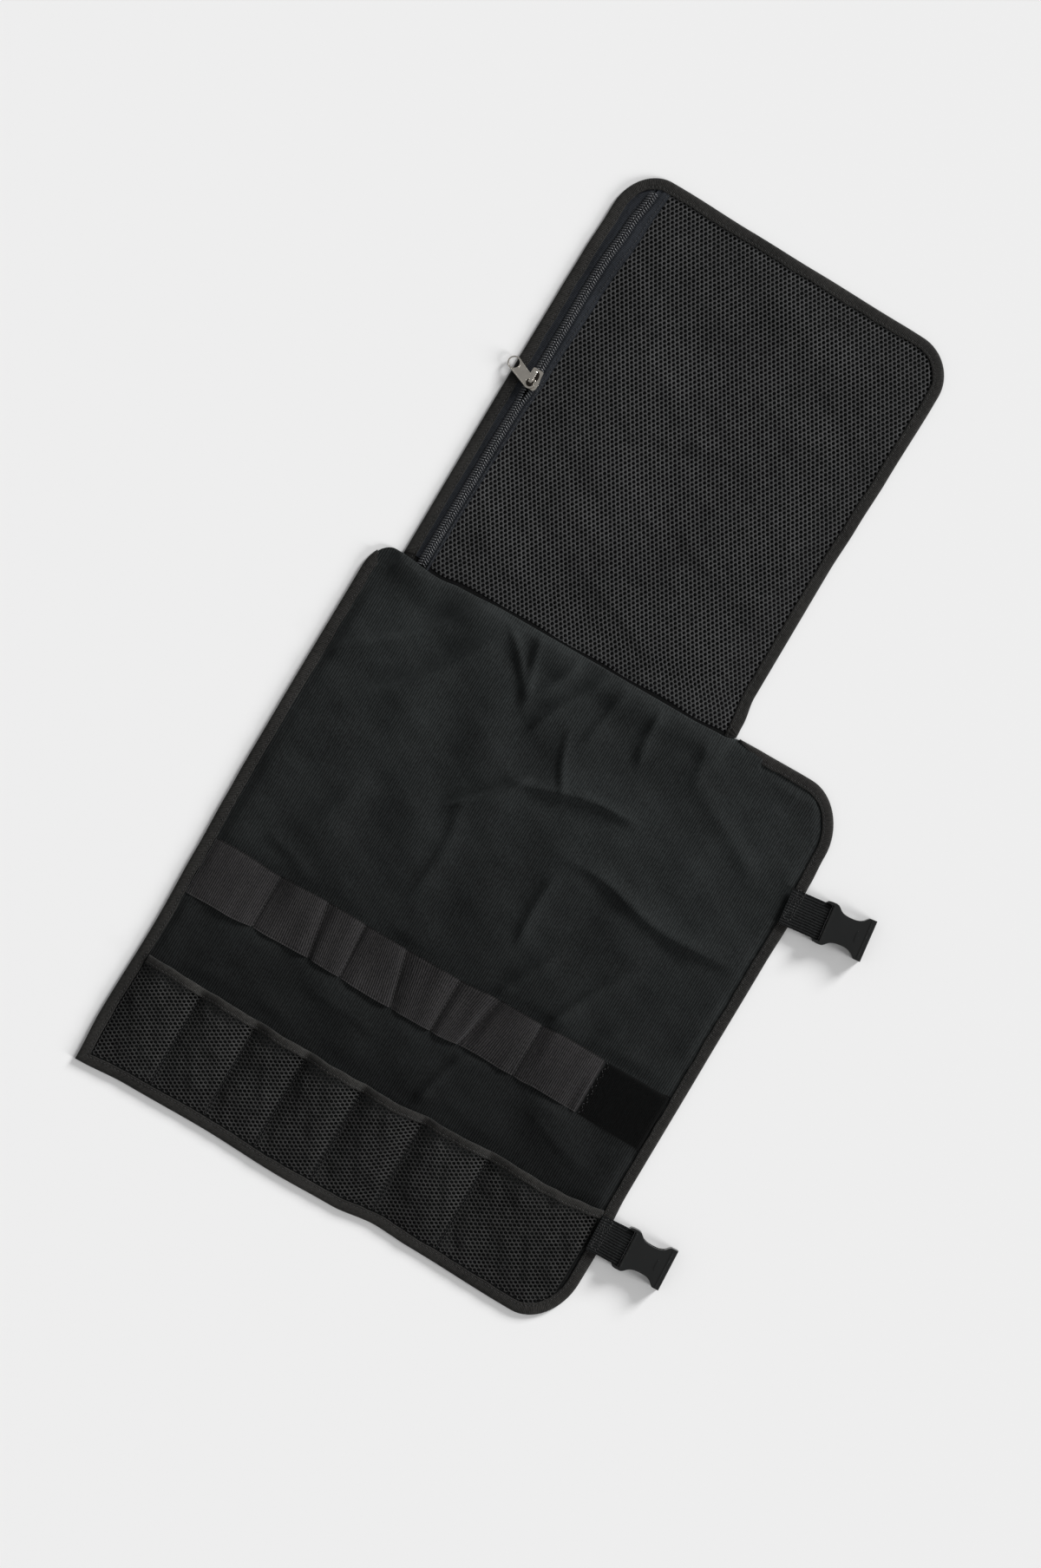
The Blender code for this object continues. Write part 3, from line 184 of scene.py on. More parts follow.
# Folds of the cloth in millimetres of the row frame: x and y of each end, half width, height, and
# how much sharper its far side is
FOLDS = (
    (-146, 60, -244, -40, 13, 2.4, 0.5),
    (-116, 56, -208, -66, 12, 2.2, 0.6),
    (-126, 52, -88, 2, 6, 1.5, 0.5),
    (-104, 56, -84, 12, 6, 1.3, 0.5),
    (-68, 56, -84, 12, 7, 1.6, 0.6),
    (-42, 56, -68, -10, 8, 1.9, 0.5),
    (-14, 54, -30, 4, 9, 1.2, 0.7),
    (16, 56, 22, 10, 8, 1.4, 0.6),
    (58, 52, 70, 18, 9, 0.9, 0.7),
    (-56, -50, -96, -102, 9, 2.6, 0.35),
    (-58, -52, 32, -37, 8, 2.0, 0.4),
    (-40, 0, -22, -46, 5, 1.2, 0.4),
    (-88, -100, -84, -176, 13, 1.6, 0.6),
    (26, -92, 158, -103, 12, 2.2, 0.4),
    (10, -112, 9, -168, 9, 1.5, 0.5),
    (40, -166, 18, -222, 9, 1.5, 0.5),
    (104, -152, 60, -222, 10, 1.8, 0.5),
    (124, -196, 100, -222, 7, 1.1, 0.5),
    (-214, -196, -176, -212, 9, 0.9, 0.7),
    (22, -272, 3, -334, 8, 1.3, 0.5),
    (-170, -120, -196, -190, 14, 1.0, 0.8),
    (80, 20, 150, -30, 18, 1.2, 0.8),
    (-120, -290, -60, -300, 9, 0.8, 0.7),
    (90, -290, 150, -302, 10, 0.9, 0.7),
)
# How far the panel's folds and its two ripples stand out
FOLD_GAIN = 2.3
BROAD_RIPPLE = 0.00090
FINE_RIPPLE = 0.00026
FLAP_FOLDS = (
    (-150, 300, -60, 262, 16, 0.9, 0.6),
    (-120, 250, -20, 268, 14, 0.8, 0.6),
    (-60, 330, 40, 300, 18, 0.9, 0.7),
    (-180, 180, -90, 150, 15, 0.8, 0.6),
    (-40, 190, 50, 160, 16, 0.9, 0.6),
    (-100, 120, -20, 96, 12, 0.8, 0.6),
    (20, 250, 60, 190, 14, 0.8, 0.7),
    (40, 110, 78, 94, 7, 1.4, 0.4),
    (-190, 110, -150, 86, 12, 0.7, 0.6),
)
# Studio: the floor, the sky's light, the lamps and the camera straight above
FLOOR_REACH = 6.0
FLOOR_SHADE = 0.86
SKY_STRENGTH = 0.33
# Name, direction towards the lamp in the row frame, strength, and apparent size in degrees
LIGHTS = (
    ("key", (0.36, 0.93, 0.38), 3.85, 17.0),
    ("side", (0.96, 0.02, 0.34), 2.10, 20.0),
)
CAMERA_AIM = (-0.0556, -0.0552)
CAMERA_HEIGHT = 3.2
CAMERA_TURN = math.asin(0.509)
SEEN_LEVEL = 0.003
SEEN_HEIGHT = 1.3085


def smooth(value):
    """Ease from 0 to 1."""
    value = np.clip(value, 0.0, 1.0)
    return value * value * (3.0 - 2.0 * value)


def along(rows, share):
    """The value of a table at a share, eased between its rows."""
    marks = np.array([row[0] for row in rows])
    values = np.array([row[1] for row in rows])
    share = np.clip(share, marks[0], marks[-1])
    index = np.clip(np.searchsorted(marks, share, side="right") - 1, 0, len(rows) - 2)
    step = smooth((share - marks[index]) / (marks[index + 1] - marks[index]))
    return values[index] + (values[index + 1] - values[index]) * step


def on_panel(x, y):
    """Where a point of the straight panel lies on the real one."""
    across = np.clip((x - LEFT) / PANEL_WIDTH, 0.0, 1.0)
    up = np.clip((y - BOTTOM) / PANEL_HEIGHT, 0.0, 1.0)
    by_left = smooth(1 - across / 0.22)
    by_right = smooth((across - 1) / 0.22 + 1)
    inwards_x = along(PANEL_LEFT_DENTS, up) * by_left - along(PANEL_RIGHT_DENTS, up) * by_right
    inwards_y = along(PANEL_BOTTOM_DENTS, across) * (1 - up) - along(PANEL_TOP_DENTS, across) * up
    return x + PANEL_WIDTH * inwards_x, y + PANEL_HEIGHT * inwards_y


def on_flap(x, y):
    """Where a point of the straight flap lies on the real one."""
    across = np.clip((x - FLAP_LEFT) / FLAP_WIDTH, 0.0, 1.0)
    up = np.clip((y - SEAM) / FLAP_HEIGHT, 0.0, 1.0)
    inwards_x = along(FLAP_LEFT_DENTS, up) * (1 - across) - along(FLAP_RIGHT_DENTS, up) * across
    foot = PANEL_HEIGHT * along(PANEL_TOP_DENTS, (x - LEFT) / PANEL_WIDTH)
    head = FLAP_HEIGHT * along(FLAP_TOP_DENTS, across)
    return x + FLAP_WIDTH * inwards_x, y - foot * (1 - up) - head * up


def ripples(x, y, seed, length, count=9):
    """Soft random waves of about a wavelength, with a spread of one."""
    draw = np.random.default_rng(seed)
    total = np.zeros(np.broadcast(x, y).shape)
    for _ in range(count):
        turn = draw.uniform(0, 2 * math.pi)
        step = 2 * math.pi / (length * draw.uniform(0.7, 1.5))
        start = draw.uniform(0, 2 * math.pi)
        total = total + np.sin(step * (x * math.cos(turn) + y * math.sin(turn)) + start)
    return total / math.sqrt(count / 2)


def creases(folds, x, y):
    """Height of a table's folds at points of the row frame."""
    total = np.zeros(x.shape)
    for x1, y1, x2, y2, width, height, sharp in folds:
        start = np.array((x1, y1)) * MM
        run = (np.array((x2, y2)) - (x1, y1)) * MM
        length = math.hypot(*run)
        along_run = ((x - start[0]) * run[0] + (y - start[1]) * run[1]) / length
        away = ((x - start[0]) * run[1] - (y - start[1]) * run[0]) / length
        away = away + 0.0035 * np.sin(along_run / 0.021 + x1)
        share = along_run / length
        ends = smooth((share + 0.22) / 0.40) * smooth((1.22 - share) / 0.40)
        spread = np.where(away > 0, width * MM * sharp, width * MM)
        total += height * MM * ends * np.exp(-np.sqrt((away / spread) ** 2 + 0.09) * 1.6 + 0.48)
    return total


# Meshes
class Build:
    """Collects points, faces and texture places for one mesh."""

    def __init__(self):
        self.points, self.faces, self.places, self.slots, self.flat = [], [], [], [], []
        self.count = 0

    def add(self, points, faces, places=None, slot=0, flat=False):
        """Add points (n, 3), faces given as arrays of equal width, and places (n, 2)."""
        points = np.asarray(points, float).reshape(-1, 3)
        places = points[:, :2] if places is None else np.asarray(places, float).reshape(-1, 2)
        self.points.append(points)
        self.places.append(places)
        for group in faces:
            group = np.asarray(group, int)
            if len(group):
                self.faces.append(group + self.count)
                self.slots.append(np.full(len(group), slot))
                self.flat.append(np.full(len(group), flat))
        self.count += len(points)

    def finish(self, name, *materials):
        """Make the object."""
        points = np.concatenate(self.points)
        places = np.concatenate(self.places)
        loops = np.concatenate([group.ravel() for group in self.faces])
        sizes = np.concatenate([np.full(len(group), group.shape[1]) for group in self.faces])
        starts = np.concatenate(([0], np.cumsum(sizes)[:-1]))
        mesh = bpy.data.meshes.new(name)
        mesh.vertices.add(len(points))
        mesh.vertices.foreach_set("co", points.ravel())
        mesh.loops.add(len(loops))
        mesh.loops.foreach_set("vertex_index", loops)
        mesh.polygons.add(len(sizes))
        mesh.polygons.foreach_set("loop_start", starts)
        mesh.polygons.foreach_set("material_index", np.concatenate(self.slots))
        mesh.polygons.foreach_set("use_smooth", ~np.concatenate(self.flat).astype(bool))
        layer = mesh.uv_layers.new(name="cloth")
        layer.data.foreach_set("uv", places[loops].ravel())
        mesh.update(calc_edges=True)
        mesh.validate()
        for material in materials:
            mesh.materials.append(material)
        made = bpy.data.objects.new(name, mesh)
        bpy.context.scene.collection.objects.link(made)
        return made


def grid_faces(wide, tall, flip=False):
    """Quads of a grid whose points run column by column."""
    i, j = np.meshgrid(np.arange(wide - 1), np.arange(tall - 1), indexing="ij")
    a = (i * tall + j).ravel()
    quads = np.stack([a, a + tall, a + tall + 1, a + 1], 1)
    return quads[:, ::-1] if flip else quads


def sheet_solid(build, upper, lower, places=None, slot=0):
    """A closed sheet between two grids of points (columns, rows, 3)."""
    wide, tall = upper.shape[:2]
    count = wide * tall
    rim = [i * tall for i in range(wide)]
    rim += [(wide - 1) * tall + j for j in range(1, tall)]
    rim += [i * tall + tall - 1 for i in range(wide - 2, -1, -1)]
    rim += list(range(tall - 2, 0, -1))
    rim = np.array(rim)
    after = np.roll(rim, -1)
    side = np.stack([rim, rim + count, after + count, after], 1)[:, ::-1]
    faces = [grid_faces(wide, tall), grid_faces(wide, tall, True) + count, side]
    points = np.concatenate([upper.reshape(-1, 3), lower.reshape(-1, 3)])
    if places is not None:
        places = np.concatenate([places.reshape(-1, 2)] * 2)
    build.add(points, faces, places, slot)


def sweep(build, rings, places, slot=0, caps=True):
    """A tube through rings of points (stations, ring, 3)."""
    length, count = rings.shape[:2]
    i, j = np.meshgrid(np.arange(length - 1), np.arange(count), indexing="ij")
    a = (i * count + j).ravel()
    b = (i * count + (j + 1) % count).ravel()
    quads = np.stack([a, b, b + count, a + count], 1)
    faces = [quads]
    if caps:
        ring = np.arange(count)
        faces += [ring[None, ::-1], (ring + (length - 1) * count)[None, :]]
    build.add(rings.reshape(-1, 3), faces, places, slot)


def thread(build, line, up, slot=1, length=2.3 * MM, space=0.9 * MM, radius=0.27 * MM):
    """A row of stitches along a line of points, raised on its surface."""
    line = np.asarray(line, float)
    steps = np.linalg.norm(np.diff(line, axis=0), axis=1)
    travelled = np.concatenate(([0], np.cumsum(steps)))
    total = travelled[-1]
    count = max(1, int(total / (length + space)))
    middles = (np.arange(count) + 0.5) * total / count
    half = length / 2

    def at(distance):
        return np.stack([np.interp(distance, travelled, line[:, k]) for k in range(3)], -1)

    centre = at(middles)
    run = at(np.clip(middles + half, 0, total)) - at(np.clip(middles - half, 0, total))
    run /= np.linalg.norm(run, axis=1, keepdims=True)
    up = np.broadcast_to(np.asarray(up, float), centre.shape)
    across = np.cross(up, run)
    across /= np.linalg.norm(across, axis=1, keepdims=True)
    rise = np.cross(run, across)
    reach = np.array((-1.0, -0.86, -0.35, 0.35, 0.86, 1.0))
    girth = np.array((0.12, 0.72, 1.0, 1.0, 0.72, 0.12))
    sink = np.array((-1.1, -0.35, 0.25, 0.25, -0.35, -1.1))
    sides = 6
    turns = 2 * math.pi * np.arange(sides) / sides
    rings = []
    for k in range(len(reach)):
        for turn in turns:
            point = centre + run * half * reach[k]
            point = point + across * radius * girth[k] * math.cos(turn)
            rings.append(point + rise * radius * (girth[k] * math.sin(turn) + sink[k]))
    points = np.stack(rings, 1)
    each = len(reach) * sides
    quads = []
    for k in range(len(reach) - 1):
        for s in range(sides):
            t = (s + 1) % sides
            quads.append((k * sides + s, k * sides + t, (k + 1) * sides + t, (k + 1) * sides + s))
    quads = np.array(quads)[:, ::-1]
    faces = (quads[None] + (np.arange(count) * each)[:, None, None]).reshape(-1, 4)
    build.add(points.reshape(-1, 3), [faces], None, slot)


def corner_points(box, corner, place, inset, steps):
    """Points round one corner: 0 bottom left, 1 bottom right, 2 top right, 3 top left."""
    left, right, bottom, top = box
    side = -1 if place in (0, 3) else 1
    rise = -1 if place in (0, 1) else 1
    edge_x = left if side < 0 else right
    edge_y = bottom if rise < 0 else top
    if corner[0] == 0:
        return np.array([(edge_x - side * inset, edge_y - rise * inset)])
    centre = (edge_x - side * corner[0], edge_y - rise * corner[1])
    turn = np.radians(180 + 90 * place + 90 * np.arange(steps + 1) / steps)
    reach_x = max(corner[0] - inset, 0.002)
    reach_y = max(corner[1] - inset, 0.002)
    return np.stack([centre[0] + reach_x * np.cos(turn), centre[1] + reach_y * np.sin(turn)], 1)


def outline(box, corners, inset, spacing=0.0025, steps=16):
    """Eight runs of points, anticlockwise from the bottom left corner, the same for any inset."""
    outer = [corner_points(box, corner, place, 0.0, steps) for place, corner in enumerate(corners)]
    turned = [corner_points(box, corner, place, inset, steps) for place, corner in enumerate(corners)]
    runs = []
    for place in range(4):
        after = (place + 1) % 4
        length = np.linalg.norm(outer[after][0] - outer[place][-1])
        count = max(2, round(length / spacing))
        share = (np.arange(1, count) / count)[:, None]
        start, end = turned[place][-1], turned[after][0]
        runs.append(turned[place])
        runs.append(start + (end - start) * share)
    return runs


def side_x(y, box, corners, inset, right):
    """The x of an outline's left or right side at heights y, with its rounded corners."""
    left_x, right_x, bottom, top = box
    low, high = (corners[1], corners[2]) if right else (corners[0], corners[3])
    shift = np.full(np.shape(y), inset, float)
    for corner, out in ((low, bottom + low[1] - y), (high, y - (top - high[1]))):
        if corner[0] > 0:
            reach_x, reach_y = corner[0] - inset, corner[1] - inset
            beyond = np.clip(out / reach_y, 0.0, 1.0)
            curved = corner[0] - reach_x * np.sqrt(1 - beyond**2)
            shift = np.where(out > 0, curved, shift)
    return right_x - shift if right else left_x + shift


# Materials
class Shader:
    """Builds a material's nodes."""

    def __init__(self, name, colour, roughness, metallic=0.0, sheen=0.0, ior=1.5, specular=0.5):
        self.material = bpy.data.materials.new(name)
        self.material.use_nodes = True
        self.material.diffuse_color = (*colour, 1.0)
        self.tree = self.material.node_tree
        self.shader = self.tree.nodes["Principled BSDF"]
        self.shader.inputs["Base Color"].default_value = (*colour, 1.0)
        self.shader.inputs["Roughness"].default_value = roughness
        self.shader.inputs["Metallic"].default_value = metallic
        self.shader.inputs["IOR"].default_value = ior
        self.shader.inputs["Specular IOR Level"].default_value = specular
        if sheen:
            self.shader.inputs["Sheen Weight"].default_value = sheen
            self.shader.inputs["Sheen Roughness"].default_value = 0.45
            self.shader.inputs["Sheen Tint"].default_value = (0.80, 0.86, 0.88, 1.0)

    def node(self, kind, **values):
        made = self.tree.nodes.new(kind)
        for key, value in values.items():
            setattr(made, key, value)
        return made

    def link(self, output, socket):
        self.tree.links.new(output, socket)

    def math(self, operation, first, second=0.0, third=None):
        made = self.node("ShaderNodeMath", operation=operation)
        for index, value in enumerate((first, second, third)):
            if value is None:
                continue
            if isinstance(value, (int, float)):
                made.inputs[index].default_value = value
            else:
                self.link(value, made.inputs[index])
        return made.outputs[0]

    def coordinates(self, uv=False):
        """The x and y of the cloth, in metres."""
        source = self.node("ShaderNodeTexCoord")
        split = self.node("ShaderNodeSeparateXYZ")
        self.link(source.outputs["UV" if uv else "Object"], split.inputs[0])
        self.space = source.outputs["UV" if uv else "Object"]
        self.height_up = split.outputs[1]
        return split.outputs[0], split.outputs[1]

    def wave(self, place, pitch, phase=0.0):
        """A smooth wave between 0 and 1."""
        turned = self.math("MULTIPLY_ADD", place, 2 * math.pi / pitch, phase)
        return self.math("MULTIPLY_ADD", self.math("SINE", turned), 0.5, 0.5)

    def noise(self, scale, detail=2.0, roughness=0.5):
        """Noise between 0 and 1, with a scale in cycles per metre."""
        made = self.node("ShaderNodeTexNoise")
        made.inputs["Scale"].default_value = scale
        made.inputs["Detail"].default_value = detail
        made.inputs["Roughness"].default_value = roughness
        self.link(self.space, made.inputs["Vector"])
        return made.outputs[0]

    def bump(self, height, distance, strength=1.0):
        made = self.node("ShaderNodeBump")
        made.inputs["Strength"].default_value = strength
        made.inputs["Distance"].default_value = distance
        self.link(height, made.inputs["Height"])
        self.link(made.outputs[0], self.shader.inputs["Normal"])

    def tint(self, factor, dark, light):
        """Colour between two greys, by a factor between 0 and 1."""
        made = self.node("ShaderNodeMix", data_type="RGBA", clamp_factor=False)
        made.inputs[6].default_value = (*dark, 1.0)
        made.inputs[7].default_value = (*light, 1.0)
        self.link(factor, made.inputs[0])
        self.link(made.outputs[2], self.shader.inputs["Base Color"])


def grey(colour, share):
    """A colour made lighter or darker."""
    return tuple(channel * share for channel in colour)


def woven(
    name, colour, rib, fine, depth, uv=False, across=False,
    sheen=0.1, spread=0.3, ribbing=0.35, fade=None,
):
    """Cloth with ribs at one pitch and fine threads at another."""
    made = Shader(name, colour, 0.8, sheen=sheen, specular=0.12)
    x, y = made.coordinates(uv)
    if across:
        x, y = y, x
    wobble = made.math("MULTIPLY_ADD", made.noise(90.0, 1.0), rib * 0.5, x)
    ribs = made.wave(wobble, rib)
    threads = made.math("MULTIPLY", made.wave(x, fine), made.wave(y, fine * 1.13))
    grain = made.noise(2600.0, 1.0)
    height = made.math("MULTIPLY_ADD", threads, 0.35, made.math("MULTIPLY", ribs, 0.65))
    height = made.math("MULTIPLY_ADD", grain, 0.25, height)
    made.bump(height, depth)
    cloud = made.math("MULTIPLY_ADD", made.noise(12.0, 3.0), 1.1, made.math("MULTIPLY", ribs, ribbing))
    cloud = made.math("MULTIPLY_ADD", made.noise(430.0, 2.0), 1.3, cloud)
    cloud = made.math("SUBTRACT", cloud, 0.70 + ribbing / 2)
    if fade:
        # Darker towards the foot of the roll
        low, high, share = fade
        slope = made.node("ShaderNodeMapRange", interpolation_type="SMOOTHSTEP")
        made.link(made.height_up, slope.inputs["Value"])
        for key, value in (("From Min", low), ("From Max", high), ("To Min", share), ("To Max", 1.0)):
            slope.inputs[key].default_value = value
        cloud = made.math("MULTIPLY", made.math("ADD", cloud, 1 / spread - 1), slope.outputs[0])
        cloud = made.math("SUBTRACT", cloud, 1 / spread - 1)
    made.tint(cloud, grey(colour, 1 - spread), grey(colour, 1 + spread))
    return made.material


def plain(name, colour, roughness, metallic=0.0, grain=900.0, depth=0.00003, spread=0.12, specular=0.5):
    """A moulded or plated surface with a faint grain."""
    made = Shader(name, colour, roughness, metallic, specular=specular)
    made.coordinates()
    speckle = made.noise(grain, 2.0)
    made.bump(speckle, depth, 0.6)
    made.tint(made.noise(160.0, 3.0), grey(colour, 1 - spread), grey(colour, 1 + spread))
    return made.material


CLOTH = woven(
    "cloth_look", (0.0122, 0.0140, 0.0140), 0.0021, 0.0009, 0.0005, spread=0.6, ribbing=0.5,
    fade=(-0.40, 0.00, 0.48),
)
# Near-black backing cloth, also laid as painted shade strips under the panel's turned edge and along the
# pocket seams
BACKING_AND_SHADE = woven("backing_and_shade_look", (0.0020, 0.0022, 0.0023), 0.0021, 0.0009, 0.0001, sheen=0.0)
TAPE = woven(
    "binding_look", (0.0185, 0.0176, 0.0163), 0.0013, 0.0006, 0.0004,
    uv=True, spread=0.7, ribbing=0.6,
)
NET = woven("net_look", (0.0470, 0.0472, 0.0478), 0.0009, 0.0005, 0.0001, spread=0.5)
POCKET_NET = woven("pocket_net_look", (0.0265, 0.0262, 0.0256), 0.0009, 0.0005, 0.0001, spread=0.5)
ELASTIC = woven(
    "elastic_look", (0.0185, 0.0172, 0.0176), 0.0019, 0.0009, 0.0006, uv=True, spread=0.65, ribbing=0.8
)
HOOKS = woven("hook_look", (0.0016, 0.0018, 0.0018), 0.0016, 0.0008, 0.0002, sheen=0.0, spread=0.5)
ZIP_TAPE = woven(
    "zip_tape_look", (0.0195, 0.0220, 0.0270), 0.0012, 0.0006, 0.0003, uv=True, across=True, spread=0.5
)
WEBBING = woven(
    "webbing_look", (0.0080, 0.0084, 0.0086), 0.0023, 0.0012, 0.0006, uv=True, spread=0.8, ribbing=0.9
)
THREAD = plain("thread_look", (0.0120, 0.0120, 0.0120), 0.55, grain=3000.0)
COIL = plain("coil_look", (0.0560, 0.0580, 0.0630), 0.26, depth=0.00001)
METAL = plain("metal_look", (0.60, 0.565, 0.51), 0.24, 1.0, grain=1400.0, depth=0.00002)
# Dark metal that paints shade into the slider's recesses
RECESS_SHADE_METAL = plain("recess_shade_metal_look", (0.045, 0.038, 0.032), 0.35, 1.0, grain=1400.0, depth=0.00002)
PLASTIC = plain(
    "plastic_look", (0.0060, 0.0065, 0.0065), 0.33, grain=1500.0, depth=0.00004, specular=0.42
)


def declare(piece, node, body="roll"):
    """Puts a piece in its node's place."""
    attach(piece, body)
    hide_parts(node)
    return piece


# Heights
def lap_raise(x, y):
    """How far the panel is lifted where it lies over the flap's foot."""
    from_left = smooth((x - FLAP_LEFT + 0.008) / 0.011)
    from_right = smooth((FLAP_RIGHT + 0.002 - x) / 0.011)
    downwards = smooth((y - (SEAM - 0.034)) / 0.020)
    return LAP_STEP * from_left * from_right * downwards


def panel_depth(x, y):
    """Distance in from the binding's inner edge, or from the top edge beside the flap."""
    bottom = y - BOTTOM - LEG_END
    left = x - side_x(y, PANEL_BOX, PANEL_CORNERS, LEG_END, False)
    right = side_x(y, PANEL_BOX, PANEL_CORNERS, LEG_END, True) - x
    top = SEAM - y - np.where(x > FLAP_RIGHT + 0.030, LEG_END, 0.0)
    return np.minimum(np.minimum(bottom, left), np.minimum(right, top))


def panel_folds(x, y):
    """Height of folds and ripples on the panel."""
    real_x, real_y = on_panel(x, y)
    depth = panel_depth(x, y)
    near = smooth(depth / 0.010)
    under_band = 1 - 0.85 * smooth(1 - (np.abs(y - BOTTOM - BAND_UP) - BAND_WIDTH / 2) / 0.012)
    under_pocket = smooth((y - BOTTOM - POCKET_UP - 0.004) / 0.014)
    field = near * under_band * under_pocket
    height = FOLD_GAIN * creases(FOLDS, real_x, real_y)
    height = height + BROAD_RIPPLE * (ripples(real_x, real_y, 3, 0.075) + 1.2)
    height = height + FINE_RIPPLE * (ripples(real_x, real_y, 5, 0.028) + 1.2)
    return height * field


def panel_top(x, y):
    """Height of the panel's upper face."""
    depth = panel_depth(x, y)
    swell = 0.0007 * smooth(depth / 0.007)
    pucker_x = 0.00016 * np.sin(x / 0.0016 + 3 * np.sin(x / 0.021))
    pucker_y = 0.00016 * np.sin(y / 0.0016 + 3 * np.sin(y / 0.019))
    by_side = np.minimum(x - LEFT, RIGHT - x) < np.minimum(y - BOTTOM, SEAM - y)
    pucker = np.where(by_side, pucker_y, pucker_x) * np.exp(-np.clip(depth, 0, 1) / 0.006)
    sewn = smooth(depth / 0.003)
    return PANEL_THICKNESS + lap_raise(x, y) + panel_folds(x, y) + (swell + pucker) * sewn


PANEL_BOX = (LEFT, RIGHT, BOTTOM, SEAM)
FLAP_BOX = (FLAP_LEFT, FLAP_RIGHT, FLAP_FOOT, FLAP_TOP)


def on_panel_edge(x, y):
    """Where a point just above the panel's top edge lies."""
    edge_x, edge_y = on_panel(x, np.minimum(y, SEAM))
    return edge_x, edge_y + np.maximum(y - SEAM, 0.0)


def make_panel():
    """The main panel, with its folds, its turned edge over the flap, and a painted shadow strip under
    that edge.
    """
    build = Build()
    wide, tall = 186, 196
    edge = np.array((0.0, 0.25, 0.6, 1.1, 1.8, 2.8, 4.2, 6.0)) * MM
    rows = np.linspace(BOTTOM + HEM, SEAM - HEM - 0.008, tall)
    rows = np.concatenate([rows, SEAM - HEM - edge[::-1]])
    share = np.linspace(0, 1, wide)
    share = 0.5 - 0.5 * np.cos(math.pi * share) * (1 - 0.25 * np.sin(math.pi * share) ** 2)
    low_x = side_x(rows, PANEL_BOX, PANEL_CORNERS, HEM, False)
    high_x = side_x(rows, PANEL_BOX, PANEL_CORNERS, HEM, True)
    x = low_x[None, :] + (high_x - low_x)[None, :] * np.linspace(0, 1, wide)[:, None]
    y = np.broadcast_to(rows[None, :], x.shape)
    top = panel_top(x, y)
    rise = lap_raise(x, y)
    low = np.where(panel_depth(x, y) > 0.0, rise + panel_folds(x, y) * 0.7, np.maximum(HEM, rise))
    fold_radius = 0.0016
    inwards = np.clip((SEAM - HEM - y) / fold_radius, 0, 1)
    over_flap = smooth((x - FLAP_LEFT + 0.012) / 0.008) * smooth((FLAP_RIGHT + 0.016 - x) / 0.010)
    drop = fold_radius * (1 - np.sqrt(1 - (1 - inwards) ** 2)) * over_flap
    real_x, real_y = on_panel(x, y)
    upper = np.stack([real_x, real_y, top - drop], -1)
    lower = np.stack([real_x, real_y, np.minimum(low + drop * 0.1, top - drop - 0.0004)], -1)
    sheet_solid(build, upper, lower)
    # Painted shadow: a narrow near-black strip of backing cloth laid on the flap's net just under the
    # turned edge, standing in for the shade in the gap there
    across = np.linspace(FLAP_LEFT + 0.0005, FLAP_RIGHT - 0.0015, 170)
    shown = 0.0026 + 0.0006 * ripples(across, 0 * across, 15, 0.05)
    shown = shown + 0.0016 * np.exp(-(((across - FLAP_LEFT - 0.020) / 0.016) ** 2))
    shadow_strip_x = np.broadcast_to(across[:, None], (170, 5))
    shadow_strip_y = SEAM - HEM - 0.002 + (shown + 0.002)[:, None] * np.linspace(0, 1, 5)[None]
    shadow_strip_z = FACE_LOW + 0.0007 + face_lift(shadow_strip_x, shadow_strip_y) + 0.00022
    shadow_strip_x, shadow_strip_y = on_panel_edge(shadow_strip_x, shadow_strip_y)
    upper = np.stack([shadow_strip_x, shadow_strip_y, shadow_strip_z], -1)
    sheet_solid(build, upper, upper - (0, 0, 0.0003), slot=2)
    piece = declare(build.finish("panel_cloth", CLOTH, THREAD, BACKING_AND_SHADE), "main_panel")
    return piece


